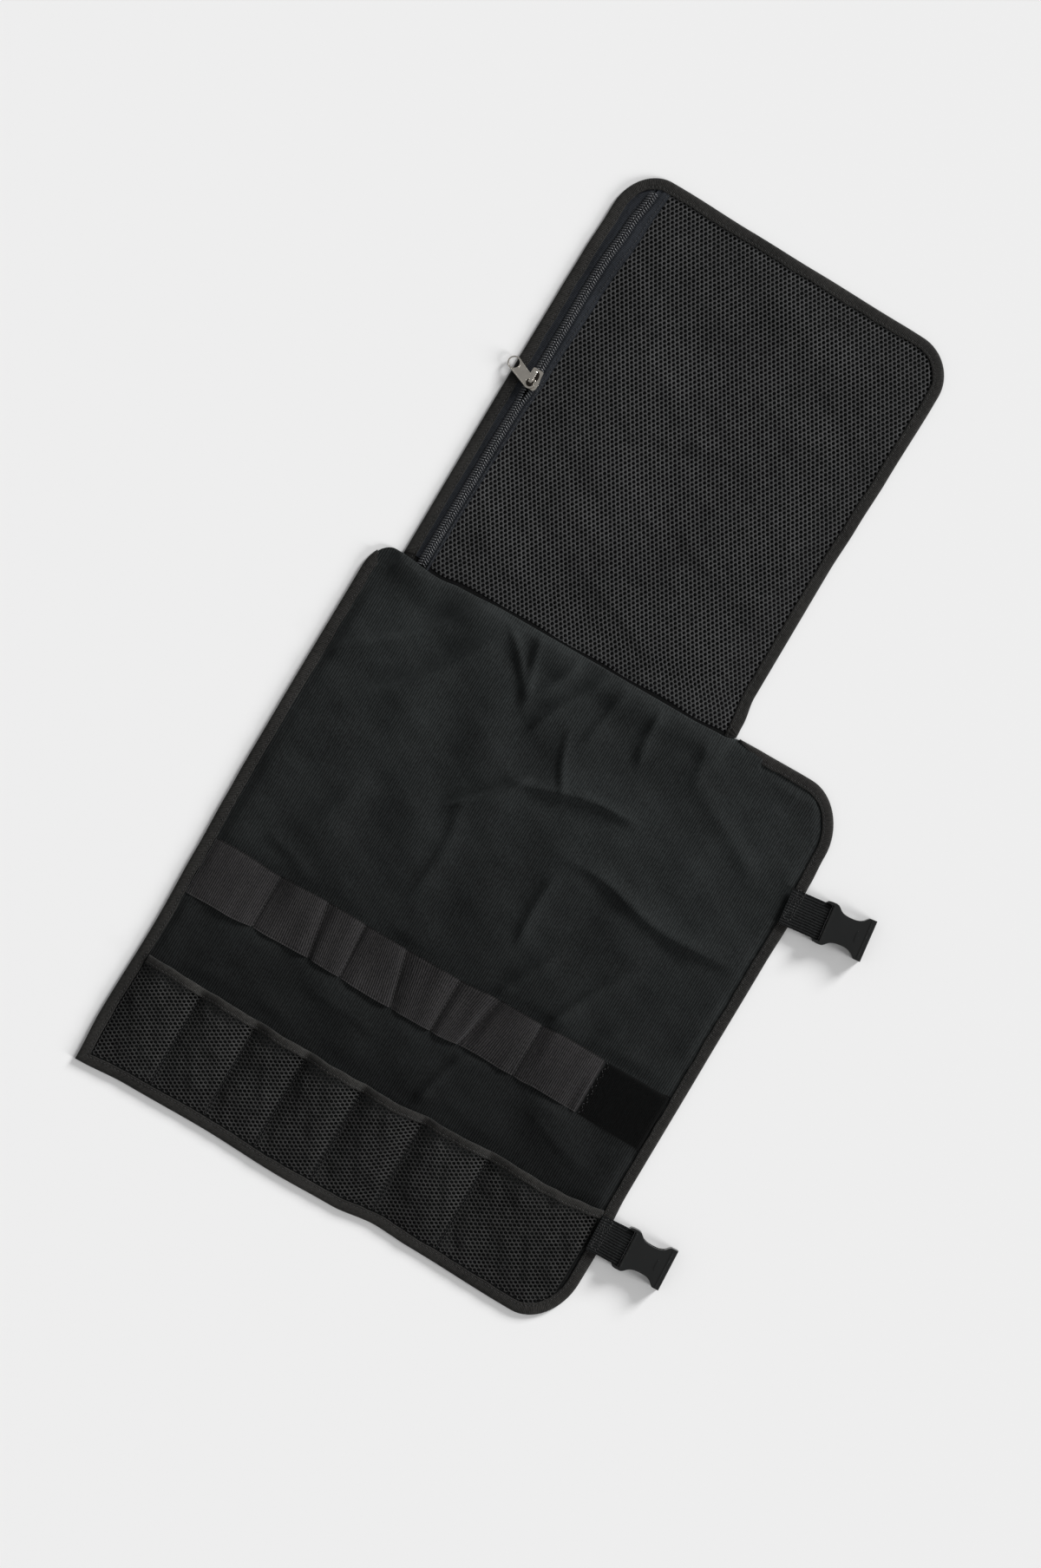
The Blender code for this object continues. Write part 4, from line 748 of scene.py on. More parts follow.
def edge_tape(name, node, path, height, warp, taper=None):
    """A tape folded over an edge, with rounded turn, sewn down near its inner edge."""
    top = height
    section = (
        (9.75, top - 0.62), (9.80, top - 0.30), (9.45, top - 0.04), (8.7, top + 0.03), (8.1, top - 0.05),
        (7.6, top - 0.22), (7.1, top - 0.05), (6.2, top + 0.05), (4.4, top + 0.10), (2.7, top + 0.05),
        (1.6, top - 0.16), (0.75, top - 0.62), (0.22, top - 1.20), (0.0, top * 0.5), (0.22, 1.10),
        (0.75, 0.52), (1.6, 0.14), (2.9, 0.02), (9.5, 0.0), (9.75, 0.35), (9.5, 0.78), (3.0, 0.80),
        (1.5, top * 0.5), (3.0, top - 0.80), (9.4, top - 0.78),
    )
    build = Build()
    lines = [path(inset * MM) for inset, _ in section]
    middle = lines[13]
    real_x, real_y = warp(middle[:, 0], middle[:, 1])
    steps = np.hypot(np.diff(real_x), np.diff(real_y))
    travelled = np.concatenate(([0], np.cumsum(steps)))
    narrow = np.ones(len(middle)) if taper is None else taper(travelled)
    level = 0 * travelled
    waver = 0.00022 * ripples(travelled, level, 11, 0.030)
    waver = waver + 0.0001 * ripples(travelled, level, 12, 0.009)
    lift = 0.00010 * ripples(travelled, 0 * travelled, 13, 0.022)
    dimple = 0.00010 * np.sin(travelled / 0.0032 * 2 * math.pi)
    rings, places = [], []
    girth = 0.0
    for index, (inset, z) in enumerate(section):
        start = path(0.0)
        reach = inset / 9.8
        line = start + (lines[index] - start) * (1 + (narrow[:, None] - 1) * smooth(reach / 0.3))
        away = path((inset + 1.0) * MM) - lines[index]
        away /= np.linalg.norm(away, axis=1, keepdims=True)
        line = line + away * (waver * reach)[:, None]
        x, y = warp(line[:, 0], line[:, 1])
        sewn = math.exp(-((inset - 7.6) / 0.7) ** 2) if z > 2 else 0.0
        upper = 1.0 if z > 1.0 else 0.0
        height_here = z * MM + lift * upper * smooth(reach / 0.2) + dimple * sewn
        rings.append(np.stack([x, y, np.maximum(height_here, 0.0)], -1))
        if index:
            before = section[index - 1]
            girth += math.hypot(inset - before[0], z - before[1]) * MM
        places.append(np.stack([travelled, np.full(len(travelled), girth)], -1))
    rings = np.stack(rings, 1)[:, ::-1]
    places = np.stack(places, 1)[:, ::-1]
    sweep(build, rings, places)
    seam = rings[:, len(section) - 1 - 5]
    keep = narrow > 0.7
    thread(build, seam[keep] + (0, 0, 0.00016), (0, 0, 1))
    piece = declare(build.finish(name, TAPE, THREAD), node)
    length = float(travelled[-1])
    return piece, length


def make_bindings():
    """The tapes round the panel and the flap."""
    def panel_path(inset):
        runs = outline(PANEL_BOX, PANEL_CORNERS, inset)
        top = runs[5][runs[5][:, 0] > FLAP_RIGHT + 0.001]
        return np.concatenate([runs[6][9:], runs[7], *runs[:5], top])

    def panel_taper(travelled):
        rest = travelled[-1] - travelled
        opening = 0.14 + 0.86 * np.clip(rest / 0.027, 0, 1)
        return opening * (0.35 + 0.65 * smooth(travelled / 0.008))

    def flap_path(inset):
        runs = outline(FLAP_BOX, FLAP_CORNERS, inset)
        foot = np.array([(FLAP_RIGHT - inset, FLAP_FOOT)])
        return np.concatenate([foot, *runs[3:], np.array([(FLAP_LEFT + inset, FLAP_FOOT)])])

    panel, long = edge_tape("panel_tape", "main_binding", panel_path, 4.1, on_panel, panel_taper)
    flap, short = edge_tape("flap_tape", "flap_binding", flap_path, 3.5, on_flap)


def flap_depth(x, y):
    """Distance in from the flap's binding."""
    left = x - side_x(y, FLAP_BOX, FLAP_CORNERS, LEG_END, False)
    right = side_x(y, FLAP_BOX, FLAP_CORNERS, LEG_END, True) - x
    return np.minimum(np.minimum(left, right), FLAP_TOP - LEG_END - y)


def face_lift(x, y):
    """How far the flap's face stands off its backing."""
    depth = flap_depth(x, y)
    foot = y - SEAM
    near = smooth(depth / 0.005) * smooth(foot / 0.008)
    far = smooth((depth - 0.018) / 0.050) * smooth(foot / 0.060)
    real_x, real_y = on_flap(x, y)
    loose = creases(FLAP_FOLDS, real_x, real_y) + 0.00022 * ripples(real_x, real_y, 21, 0.060)
    loose = loose + 0.00012 * ripples(real_x, real_y, 22, 0.022)
    loose = loose * smooth((depth - 0.012) / 0.020) * smooth(foot / 0.030)
    return ZIP_LIFT * near + (FACE_RISE - ZIP_LIFT) * far + loose * 1.5


def chain_x(y):
    """The zip's middle line on the straight flap."""
    return FLAP_LEFT + FLAP_WIDTH * along(CHAIN_LINE, (y - SEAM) / FLAP_HEIGHT)


def mesh_x(y):
    """The left edge of the flap's net on the straight flap."""
    return FLAP_LEFT + FLAP_WIDTH * along(MESH_LINE, (y - SEAM) / FLAP_HEIGHT)


def chain_split(y):
    """The space between the zip's rows."""
    below = SEAM + SLIDER_UP - y
    opened = smooth((below + 0.004) / 0.007) * smooth((0.024 - below) / 0.012)
    return 0.0001 + CHAIN_SPLIT * opened


def net(build, x_range, y_range, pitch, row, hole, kept, place, turned=False, thick=0.45 * MM):
    """Open net: a lattice of six sided cells, each with a hole, whose strands have round tops."""
    if turned:
        x_range, y_range = y_range, x_range
    columns = int((x_range[1] - x_range[0]) / pitch) + 4
    rows = int((y_range[1] - y_range[0]) / row) + 4
    i, j = np.meshgrid(np.arange(columns), np.arange(rows), indexing="ij")
    cx = x_range[0] + (i - 1) * pitch + (j % 2) * pitch / 2
    cy = y_range[0] + (j - 1) * row
    waist = (row * row - pitch * pitch / 4) / (2 * row)
    peak = row - waist

    def turn(x, y):
        return (y, x) if turned else (x, y)

    inside = kept(*turn(cx, cy))
    inside[:1], inside[-2:], inside[:, :1], inside[:, -1:] = False, False, False, False
    tops = np.stack([cx, cy + peak], -1).reshape(-1, 2)
    feet = np.stack([cx, cy - peak], -1).reshape(-1, 2)
    i, j = i[inside], j[inside]
    shift = j % 2
    count = columns * rows

    def cell(a, b):
        return a * rows + b

    left, right = i - 1 + shift, i + shift
    ring = np.stack([
        cell(i, j), cell(left, j + 1) + count, cell(left, j - 1),
        cell(i, j) + count, cell(right, j - 1), cell(right, j + 1) + count,
    ], 1)
    centre_x, centre_y = cx[inside], cy[inside]
    turns = np.radians(90 + 60 * np.arange(6))
    draw = np.random.default_rng(31)
    size = draw.uniform(0.93, 1.07, len(centre_x))[:, None]
    rim_x = centre_x[:, None] + hole[0] * size * np.cos(turns)
    rim_y = centre_y[:, None] + hole[1] * size * np.sin(turns)
    low_x = centre_x[:, None] + hole[0] * 0.93 * size * np.cos(turns)
    low_y = centre_y[:, None] + hole[1] * 0.93 * size * np.sin(turns)
    flat = np.concatenate([
        np.concatenate([tops, feet]),
        np.stack([rim_x, rim_y], -1).reshape(-1, 2),
        np.stack([low_x, low_y], -1).reshape(-1, 2),
    ])
    cells = len(centre_x)
    base = 2 * count
    rim = base + np.arange(cells)[:, None] * 6 + np.arange(6)
    low = rim + cells * 6
    used = np.unique(np.concatenate([ring.ravel(), rim.ravel(), low.ravel()]))
    renumber = np.full(len(flat), -1)
    renumber[used] = np.arange(len(used))
    sink = np.concatenate([
        np.zeros(2 * count), np.full(cells * 6, 0.14 * MM), np.full(cells * 6, thick),
    ])
    x, y = turn(flat[used, 0], flat[used, 1])
    points = place(x, y)
    points[:, 2] -= sink[used]
    faces = []
    for k in range(6):
        n = (k + 1) % 6
        faces.append(np.stack([ring[:, k], ring[:, n], rim[:, n], rim[:, k]], 1))
        faces.append(np.stack([rim[:, k], rim[:, n], low[:, n], low[:, k]], 1))
    faces = renumber[np.concatenate(faces)]
    if turned:
        faces = faces[:, ::-1]
    build.add(points, [faces], np.stack([x, y], -1))


def make_flap_net():
    """The flap's open net."""
    build = Build()

    def kept(x, y):
        inside = (x > mesh_x(y) - 0.0005) & (y > SEAM - 0.006)
        return inside & (flap_depth(x, y) > -0.0015)

    def place(x, y):
        real_x, real_y = on_flap(x, y)
        return np.stack([real_x, real_y, FACE_LOW + 0.0007 + face_lift(x, y)], -1)

    start = float(mesh_x(np.array(SEAM)))
    net(
        build, (start - 0.004, FLAP_RIGHT), (SEAM - 0.010, FLAP_TOP), 4.14 * MM, 3.20 * MM,
        (1.50 * MM, 1.78 * MM), kept, place,
    )
    piece = declare(build.finish("flap_net", NET), "flap_mesh")
    return piece


def make_tapes():
    """The zip's two tapes, running in under the teeth."""
    heights = np.concatenate([
        np.linspace(FLAP_FOOT - 0.003, SEAM + SLIDER_UP - 0.030, 60),
        np.linspace(SEAM + SLIDER_UP - 0.029, SEAM + SLIDER_UP + 0.010, 40),
        np.linspace(SEAM + SLIDER_UP + 0.012, FLAP_TOP - 0.0085, 70),
    ])
    for name, node, columns in (
        ("outer_tape", "zip_tape_outer", 14), ("inner_tape", "zip_tape_inner", 14),
    ):
        build = Build()
        share = np.linspace(0, 1, columns)[:, None]
        y = np.broadcast_to(heights[None], (columns, len(heights)))
        if name == "outer_tape":
            start = side_x(y, FLAP_BOX, FLAP_CORNERS, 0.0078, False)
            end = chain_x(y) - chain_split(y) / 2 - 0.0006
            start = np.minimum(start, end - 0.003)
        else:
            start = chain_x(y) + chain_split(y) / 2 + 0.0006
            end = mesh_x(y) + 0.0022
        x = start + (end - start) * share
        base = FACE_LOW + 0.0005 + face_lift(x, y)
        if name == "outer_tape":
            welt = 0.00035 * np.exp(-(((share - 0.52) / 0.16) ** 2)) * smooth(flap_depth(x, y) / 0.002)
            top = base + welt
        else:
            top = base + 0.00085 * smooth((x - start - 0.0036) / 0.0014)
        top = top + 0.00007 * ripples(x, y, 41, 0.012)
        real_x, real_y = on_flap(x, y)
        upper = np.stack([real_x, real_y, top], -1)
        lower = np.stack([real_x, real_y, top - 0.0005], -1)
        places = np.stack([x - start, y], -1)
        sheet_solid(build, upper, lower, places)
        seam = upper[round(columns * (0.62 if name == "outer_tape" else 0.74))]
        thread(build, seam + (0, 0, 0.0001), (0, 0, 1), radius=0.22 * MM)
        piece = declare(build.finish(name, ZIP_TAPE, THREAD), node)


def make_coils():
    """The zip's two rows of nylon teeth."""
    pitch = 2.28 * MM
    low = FLAP_FOOT + 0.0008
    high = FLAP_TOP - LEG_END - 0.0048
    marks = np.arange(low, high, pitch)
    sides = 6
    turns = 2 * math.pi * np.arange(sides) / sides
    # Out from the middle line, up the chain, and up from the tape, in millimetres
    loop = ((3.75, -0.95, 0.15), (3.72, -0.80, 0.75), (3.25, -0.60, 1.18), (2.2, -0.20, 1.42),
            (1.1, 0.25, 1.42), (0.35, 0.55, 1.20), (-0.05, 0.72, 0.62))
    for name, node, side in (
        ("outer_teeth", "zip_coil_outer", -1), ("inner_teeth", "zip_coil_inner", 1),
    ):
        build = Build()
        y = marks + (pitch / 2 if side > 0 else 0.0)
        near = chain_x(y) + side * chain_split(y) / 2
        base = FACE_LOW + 0.00095 + face_lift(chain_x(y), y)
        rings = []
        path = []
        for out, up, rise in loop:
            x_here = near + side * out * MM
            y_here = y + up * MM
            path.append(np.stack([x_here, y_here, base + rise * MM], -1))
        path = np.stack(path, 1)
        ahead = np.roll(path, -1, axis=1)
        ahead[:, -1] = path[:, -1] * 2 - path[:, -2]
        behind = np.roll(path, 1, axis=1)
        behind[:, 0] = path[:, 0] * 2 - path[:, 1]
        run = ahead - behind
        run /= np.linalg.norm(run, axis=2, keepdims=True)
        across = np.cross(run, (0, 1, 0))
        across /= np.linalg.norm(across, axis=2, keepdims=True)
        other = np.cross(run, across)
        girth = np.array((0.40, 0.44, 0.46, 0.46, 0.47, 0.52, 0.42)) * MM
        for turn in turns:
            around = across * math.cos(turn) * 0.9 + other * math.sin(turn)
            rings.append(path + around * girth[None, :, None])
        rings = np.stack(rings, 2)
        real_x, real_y = on_flap(rings[..., 0], rings[..., 1])
        rings = np.stack([real_x, real_y, rings[..., 2]], -1)
        each = len(loop) * sides
        quads = []
        for k in range(len(loop) - 1):
            for s in range(sides):
                t = (s + 1) % sides
                quads.append((k * sides + s, k * sides + t, (k + 1) * sides + t, (k + 1) * sides + s))
        quads = np.array(quads)
        if side > 0:
            quads = quads[:, ::-1]
        faces = (quads[None] + (np.arange(len(y)) * each)[:, None, None]).reshape(-1, 4)
        build.add(rings.reshape(-1, 3), [faces])
        for out in (1.35, 2.75):
            line_y = np.linspace(low, high, 260)
            line_x = chain_x(line_y) + side * (chain_split(line_y) / 2 + out * MM)
            z = FACE_LOW + 0.00095 + face_lift(chain_x(line_y), line_y) + 1.62 * MM
            real_x, real_y = on_flap(line_x, line_y)
            thread(
                build, np.stack([real_x, real_y, z], -1), (0, 0, 1),
                length=1.75 * MM, space=0.5 * MM, radius=0.16 * MM,
            )
        declare(build.finish(name, COIL, THREAD), node)


def tidy_bevel(piece, width, segments=2, angle=35):
    """Rounds a piece's sharp edges."""
    bevel = piece.modifiers.new("Edges", "BEVEL")
    bevel.width = width
    bevel.segments = segments
    bevel.limit_method = "ANGLE"
    bevel.angle_limit = math.radians(angle)
    bevel.harden_normals = True
    for face in piece.data.polygons:
        face.use_smooth = True


def prism(name, shape, low, high, material=None):
    """An upright solid from an outline in plan."""
    shape = np.asarray(shape, float)
    count = len(shape)
    build = Build()
    points = np.concatenate([
        np.column_stack([shape, np.full(count, low)]), np.column_stack([shape, np.full(count, high)]),
    ])
    ring = np.arange(count)
    after = np.roll(ring, -1)
    side = np.stack([ring, after, after + count, ring + count], 1)
    build.add(points, [side, ring[None, ::-1], (ring + count)[None]], flat=True)
    return build.finish(name, *([material] if material else []))


def cut(body, other, operation="DIFFERENCE"):
    """Cuts, or joins, one piece with another and applies it."""
    change = body.modifiers.new("Cut", "BOOLEAN")
    change.operation = operation
    change.solver = "EXACT"
    change.object = other
    graph = bpy.context.evaluated_depsgraph_get()
    made = bpy.data.meshes.new_from_object(body.evaluated_get(graph))
    body.modifiers.clear()
    body.data = made
    bpy.data.objects.remove(other)


def circle(x, y, radius, count=48):
    """Points round a circle."""
    turns = 2 * math.pi * np.arange(count) / count
    return np.stack([x + radius * np.cos(turns), y + radius * np.sin(turns)], 1)


def slider_place():
    """The slider's place."""
    y = np.array(SEAM + SLIDER_UP)
    x, real_y = on_flap(chain_x(y), y)
    return Vector((float(x), float(real_y), FACE_LOW))


def strip(name, path, thickness, half_width, centre_x=0.0):
    """A flat bent bar along a path in the YZ plane, with rounded long edges."""
    path = np.asarray(path, float)
    ahead = np.gradient(path, axis=0)
    ahead /= np.linalg.norm(ahead, axis=1, keepdims=True)
    normal = np.stack([-ahead[:, 1], ahead[:, 0]], 1)
    steps = 16
    turns = 2 * math.pi * np.arange(steps) / steps
    rings = []
    for turn in turns:
        u = math.copysign(abs(math.cos(turn)) ** 0.45, math.cos(turn)) * half_width
        v = math.copysign(abs(math.sin(turn)) ** 0.6, math.sin(turn)) * thickness / 2
        rings.append(np.stack([
            np.full(len(path), centre_x + u),
            path[:, 0] + normal[:, 0] * v,
            path[:, 1] + normal[:, 1] * v,
        ], -1))
    build = Build()
    rings = np.stack(rings, 1)
    sweep(build, rings, np.zeros((rings.shape[0] * steps, 2)))
    return build.finish(name)


def bend(points, radius_steps=3):
    """A smooth line through points, by rounding its corners."""
    points = np.asarray(points, float)
    for _ in range(radius_steps):
        first, last = points[0], points[-1]
        quarter = points[:-1] * 0.75 + points[1:] * 0.25
        three = points[:-1] * 0.25 + points[1:] * 0.75
        points = np.concatenate([[first], np.stack([quarter, three], 1).reshape(-1, 2), [last]])
    return points


def make_slider():
    """The slider: shaped top plate with flanges, foot plate, post and bail."""
    top = SLIDER_TOP
    flank = (
        (-9.0, 3.4), (-8.7, 4.4), (-7.9, 5.3), (-6.4, 5.85), (-4.0, 6.0), (-1.4, 6.0), (0.6, 5.75),
        (2.6, 5.25), (4.4, 4.95), (7.6, 4.85), (8.6, 4.6), (9.0, 3.8),
    )
    smooth_flank = bend(np.array(flank), radius_steps=2) * MM
    y, half = smooth_flank[:, 0], smooth_flank[:, 1]
    shape = np.concatenate([np.stack([half, y], 1), np.stack([-half, y], 1)[::-1]])
    body = prism("slider", shape, top - 0.0009, top, METAL)
    skirt = prism("skirt", shape * (0.995, 0.96), ZIP_LIFT + 0.0010, top - 0.0004)
    hollow = prism("hollow", shape * (0.87, 1.2), 0.0, top - 0.0008)
    cut(skirt, hollow)
    cut(body, skirt, "UNION")
    foot = prism("foot", shape * (0.93, 0.95), 0.0, 0.0006)
    oval = circle(0, -4.6 * MM, 0.95 * MM, 20) * (1, 1.25) + (0, 1.2 * MM)
    post = prism("post", oval, 0.0004, top - 0.0004)
    cut(foot, post, "UNION")
    cut(body, foot, "UNION")
    well = circle(0.0, 0.0, 1.0 * MM, 32) * (2.9, 5.3) + (0.5 * MM, 1.7 * MM)
    cut(body, prism("well", well, top - 0.00045, top + 0.002))
    cup = circle(-BAIL_OFFSET, -BAIL_LEG_DOWN, 3.1 * MM, 32)
    cut(body, prism("cup", cup, top - 0.00045, top + 0.002))
    path = bend([
        (-4.4, top / MM - 0.6), (-4.45, top / MM + 3.4), (-3.9, top / MM + 5.3), (-1.5, top / MM + 5.75),
        (3.2, top / MM + 5.6), (6.3, top / MM + 5.0), (7.05, top / MM + 3.2), (7.0, top / MM - 0.6),
    ])
    bail = strip("bail", path * MM, 0.95 * MM, 1.6 * MM, -1.3 * MM)
    cut(body, bail, "UNION")
    body.data.materials.clear()
    body.data.materials.append(METAL)
    body.data.materials.append(RECESS_SHADE_METAL)
    # Painted shade: the sunk floors of the well and of the bail's cup get a dark metal, so the recesses
    # read darker
    for face in body.data.polygons:
        sunk = abs(face.center.z - (top - 0.00045)) < 0.00002 and face.normal.z > 0.9
        face.material_index = 1 if sunk else 0
    body.matrix_world = Matrix.Translation(slider_place())
    tidy_bevel(body, 0.00022, 2, 38)
    declare(body, "zip_slider")


def capsule(first, second, near, far, count=40):
    """The outline round two circles of different size on the x axis."""
    lean = math.asin((far - near) / (second - first))
    back = math.pi / 2 + lean + (math.pi - 2 * lean) * np.arange(count + 1) / count
    front = -math.pi / 2 - lean + (math.pi + 2 * lean) * np.arange(count + 1) / count
    return np.concatenate([
        np.stack([first + near * np.cos(back), near * np.sin(back)], 1),
        np.stack([second + far * np.cos(front), far * np.sin(front)], 1),
    ])


def pull_pivot():
    """The middle of the rim of the pull's eye, on the far side of the bail's leg."""
    place = slider_place()
    outwards = Vector((math.cos(PULL_YAW), math.sin(PULL_YAW)))
    back = (PULL_EYE_HOLE + PULL_EYE_RIM) / 2
    pivot = place.xy - Vector((BAIL_OFFSET, BAIL_LEG_DOWN)) - outwards * back * math.cos(PULL_DROOP)
    slider_edge = (place.x - SLIDER_HALF_WIDTH - pivot.x) / outwards.x
    rest = place.z + SLIDER_TOP + GAP + PULL_THICKNESS / 2
    return Vector((*pivot, rest + slider_edge * math.tan(PULL_DROOP)))


def make_pull():
    """The pull, with a raised rim round its edge and round both holes."""
    eye = (PULL_EYE_HOLE + PULL_EYE_RIM) / 2
    pivot = pull_pivot()
    end = eye + PULL_CENTRES
    half = PULL_THICKNESS / 2
    body = prism("pull_tab", capsule(eye, end, PULL_EYE_RIM, PULL_END_RIM), -half, half, METAL)
    rim = 0.95 * MM
    for low, high in ((half - 0.00026, half * 3), (-half * 3, -half + 0.00026)):
        dish = prism("dish", capsule(eye, end, PULL_EYE_RIM - rim, PULL_END_RIM - rim), low, high)
        for centre, radius in ((eye, PULL_EYE_HOLE), (end, PULL_END_HOLE)):
            cut(dish, prism("rim", circle(centre, 0, radius + rim), low * 2 - high, high * 2))
        cut(body, dish)
    for centre, radius in ((eye, PULL_EYE_HOLE), (end, PULL_END_HOLE)):
        cut(body, prism("hole", circle(centre, 0, radius), -half * 3, half * 3))
    body.data.materials.clear()
    body.data.materials.append(METAL)
    body.matrix_world = (
        Matrix.Translation(pivot)
        @ Matrix.Rotation(PULL_YAW, 4, "Z")
        @ Matrix.Rotation(PULL_DROOP, 4, "Y")
    )
    tidy_bevel(body, 0.00016, 2, 40)
    declare(body, "zip_pull", "pull")


def arches(sections, start, length, per_metre):
    """Columns across sewn down sections: x, share of the rise, lean, and nearness to a seam."""
    x, height, lean, seam = [], [], [], []
    at, before = start, 0.0
    for share_of_run, rise, after in sections:
        width = share_of_run * length
        count = max(10, round(width * per_metre))
        share = np.arange(count) / count
        inner = np.clip((share * width - SEAM_FLAT) / (width - 2 * SEAM_FLAT), 0, 1)
        x.append(at + width * share)
        height.append(rise * (1 - np.abs(2 * inner - 1) ** 2.6))
        lean.append(before + (after - before) * share)
        seam.append(np.minimum(share, 1 - share) * width)
        at += width
        before = after
    x.append([at])
    height.append([0.0])
    lean.append([before])
    seam.append([0.0])
    return tuple(np.concatenate(list_) for list_ in (x, height, lean, seam))


def seam_places(sections, start, length):
    """The x and the lean of each seam."""
    found = [(start, 0.0)]
    at = start
    for share, _, lean in sections:
        at += share * length
        found.append((at, lean))
    return found


def band_limits():
    """The band's left and right ends."""
    return LEFT + LEG_END + SEWN_CLEARANCE, RIGHT - LEG_END - SEWN_CLEARANCE - PATCH_WIDTH - GAP


def make_band():
    """The elastic band, sewn down in sections that arch up between their seams."""
    start, end = band_limits()
    length = end - start
    x, height, lean, seam = arches(BAND_SECTIONS, start, length, 1000)
    rows = np.linspace(-1, 1, 30)
    middle = BOTTOM + BAND_UP
    x, height, lean, seam = (value[:, None] for value in (x, height, lean, seam))
    row = rows[None, :]
    wider = 1 + 0.055 * smooth((LEFT + 0.070 - x) / 0.020)
    scallop = 0.0003 * smooth(seam / 0.012)
    y = middle + row * (BAND_WIDTH / 2 * wider - 0.0004 + scallop)
    lay_x = x + lean * row * BAND_WIDTH / 2
    crumple = ripples(lay_x, y * 0.25, 51, 0.016) * np.exp(-seam / 0.010)
    loose = ripples(lay_x, y * 0.5, 52, 0.045)
    rise = 0.0042 * height * (1 - 0.45 * smooth(0.5 - row / 2)) + height * 0.0006 * loose
    rise = rise + 0.0005 * crumple * smooth(seam / 0.003)
    sag = 1 - 0.10 * np.abs(row) ** 3 * np.sin(lay_x / 0.013)
    z = SEAT + BAND_THICKNESS * (0.55 + 0.45 * smooth(seam / 0.002)) + np.maximum(rise * sag, 0.0)
    edge = 0.0005 * smooth((np.abs(row) - 0.94) / 0.06)
    real_x, real_y = on_panel(lay_x, y)
    upper = np.stack([real_x, real_y, z - edge + 0 * lay_x], -1)
    lower = np.stack([real_x, real_y, z - BAND_THICKNESS * 0.8 + 0 * lay_x], -1)
    lower[..., 2] = np.minimum(np.maximum(lower[..., 2], SEAT - 0.0002), upper[..., 2] - 0.0003)
    places = np.stack([lay_x - lean * row * BAND_WIDTH / 2 + 0 * row, y], -1)
    build = Build()
    sheet_solid(build, upper, lower, places)
    for at, slope in seam_places(BAND_SECTIONS, start, length):
        at = min(max(at, start + 0.002), end - 0.002)
        line_row = np.linspace(-0.97, 0.97, 30)
        line_x, line_y = on_panel(
            at + slope * line_row * BAND_WIDTH / 2, middle + line_row * BAND_WIDTH / 2
        )
        z_line = np.full(30, SEAT + BAND_THICKNESS * 0.62)
        thread(build, np.stack([line_x, line_y, z_line], -1), (0, 0, 1))
    piece = declare(build.finish("elastic_band", ELASTIC, THREAD), "knife_band")


def make_patch():
    """The hook patch: a woven base with rows of small bent hooks and a zigzag at its left edge."""
    start = band_limits()[1] + GAP
    middle = BOTTOM + BAND_UP
    build = Build()
    columns, rows = 60, 48
    x = start + PATCH_WIDTH * np.linspace(0, 1, columns)[:, None] + np.zeros((1, rows))
    y = middle + PATCH_HEIGHT * np.linspace(-0.5, 0.5, rows)[None, :] + np.zeros((columns, 1))
    real_x, real_y = on_panel(x, y)
    inset = np.minimum(x - start, start + PATCH_WIDTH - x)
    inset = np.minimum(inset, PATCH_HEIGHT / 2 - np.abs(y - middle))
    top = SEAT + 0.0004 + 0.0005 * smooth(inset / 0.0012)
    lower = np.stack([real_x, real_y, top * 0 + SEAT], -1)
    sheet_solid(build, np.stack([real_x, real_y, top], -1), lower)
    draw = np.random.default_rng(61)
    pitch = 1.15 * MM
    hx, hy = np.meshgrid(
        np.arange(start + 0.0030, start + PATCH_WIDTH - 0.0022, pitch),
        np.arange(middle - PATCH_HEIGHT / 2 + 0.0022, middle + PATCH_HEIGHT / 2 - 0.002, pitch),
    )
    hx = (hx + draw.uniform(-0.25, 0.25, hx.shape) * MM).ravel()
    hy = (hy + draw.uniform(-0.25, 0.25, hy.shape) * MM).ravel()
    hx, hy = on_panel(hx, hy)
    lean = draw.uniform(0, 2 * math.pi, hx.shape)
    loop = ((0.0, 0.0), (0.05, 0.65), (0.30, 1.05), (0.62, 0.95), (0.70, 0.65))
    sides = 3
    rings = []
    for out, rise in loop:
        for s in range(sides):
            turn = 2 * math.pi * s / sides
            px = hx + (out * np.cos(lean) + 0.13 * math.cos(turn) * np.sin(lean)) * MM
            py = hy + (out * np.sin(lean) - 0.13 * math.cos(turn) * np.cos(lean)) * MM
            z = SEAT + 0.0008 + (rise + 0.13 * math.sin(turn)) * MM
            rings.append(np.stack([px, py, np.full(len(hx), z)], -1))
    points = np.stack(rings, 1)
    quads = []
    for k in range(len(loop) - 1):
        for s in range(sides):
            t = (s + 1) % sides
            quads.append((k * sides + s, k * sides + t, (k + 1) * sides + t, (k + 1) * sides + s))
    shifts = (np.arange(len(hx)) * len(loop) * sides)[:, None, None]
    faces = (np.array(quads)[None] + shifts).reshape(-1, 4)
    hooks = Build()
    hooks.add(points.reshape(-1, 3), [faces])
    hooks = hooks.finish("small_hooks", HOOKS)
    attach(hooks, "roll")
    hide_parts("hook_patch")
    count = 13
    zig_y = np.linspace(middle - PATCH_HEIGHT / 2 + 0.001, middle + PATCH_HEIGHT / 2 - 0.001, count)
    zig_x = start + np.where(np.arange(count) % 2, 0.0042, 0.0008)
    zx, zy = on_panel(zig_x, zig_y)
    thread(build, np.stack([zx, zy, np.full(count, SEAT + 0.0012)], -1), (0, 0, 1), radius=0.3 * MM)
    piece = declare(build.finish("hook_tape", HOOKS, THREAD), "hook_patch")


def mouth_y(x):
    """The pockets' top edge on the straight panel."""
    return BOTTOM + POCKET_UP + PANEL_HEIGHT * along(MOUTH_CLIMB, (x - LEFT) / PANEL_WIDTH)


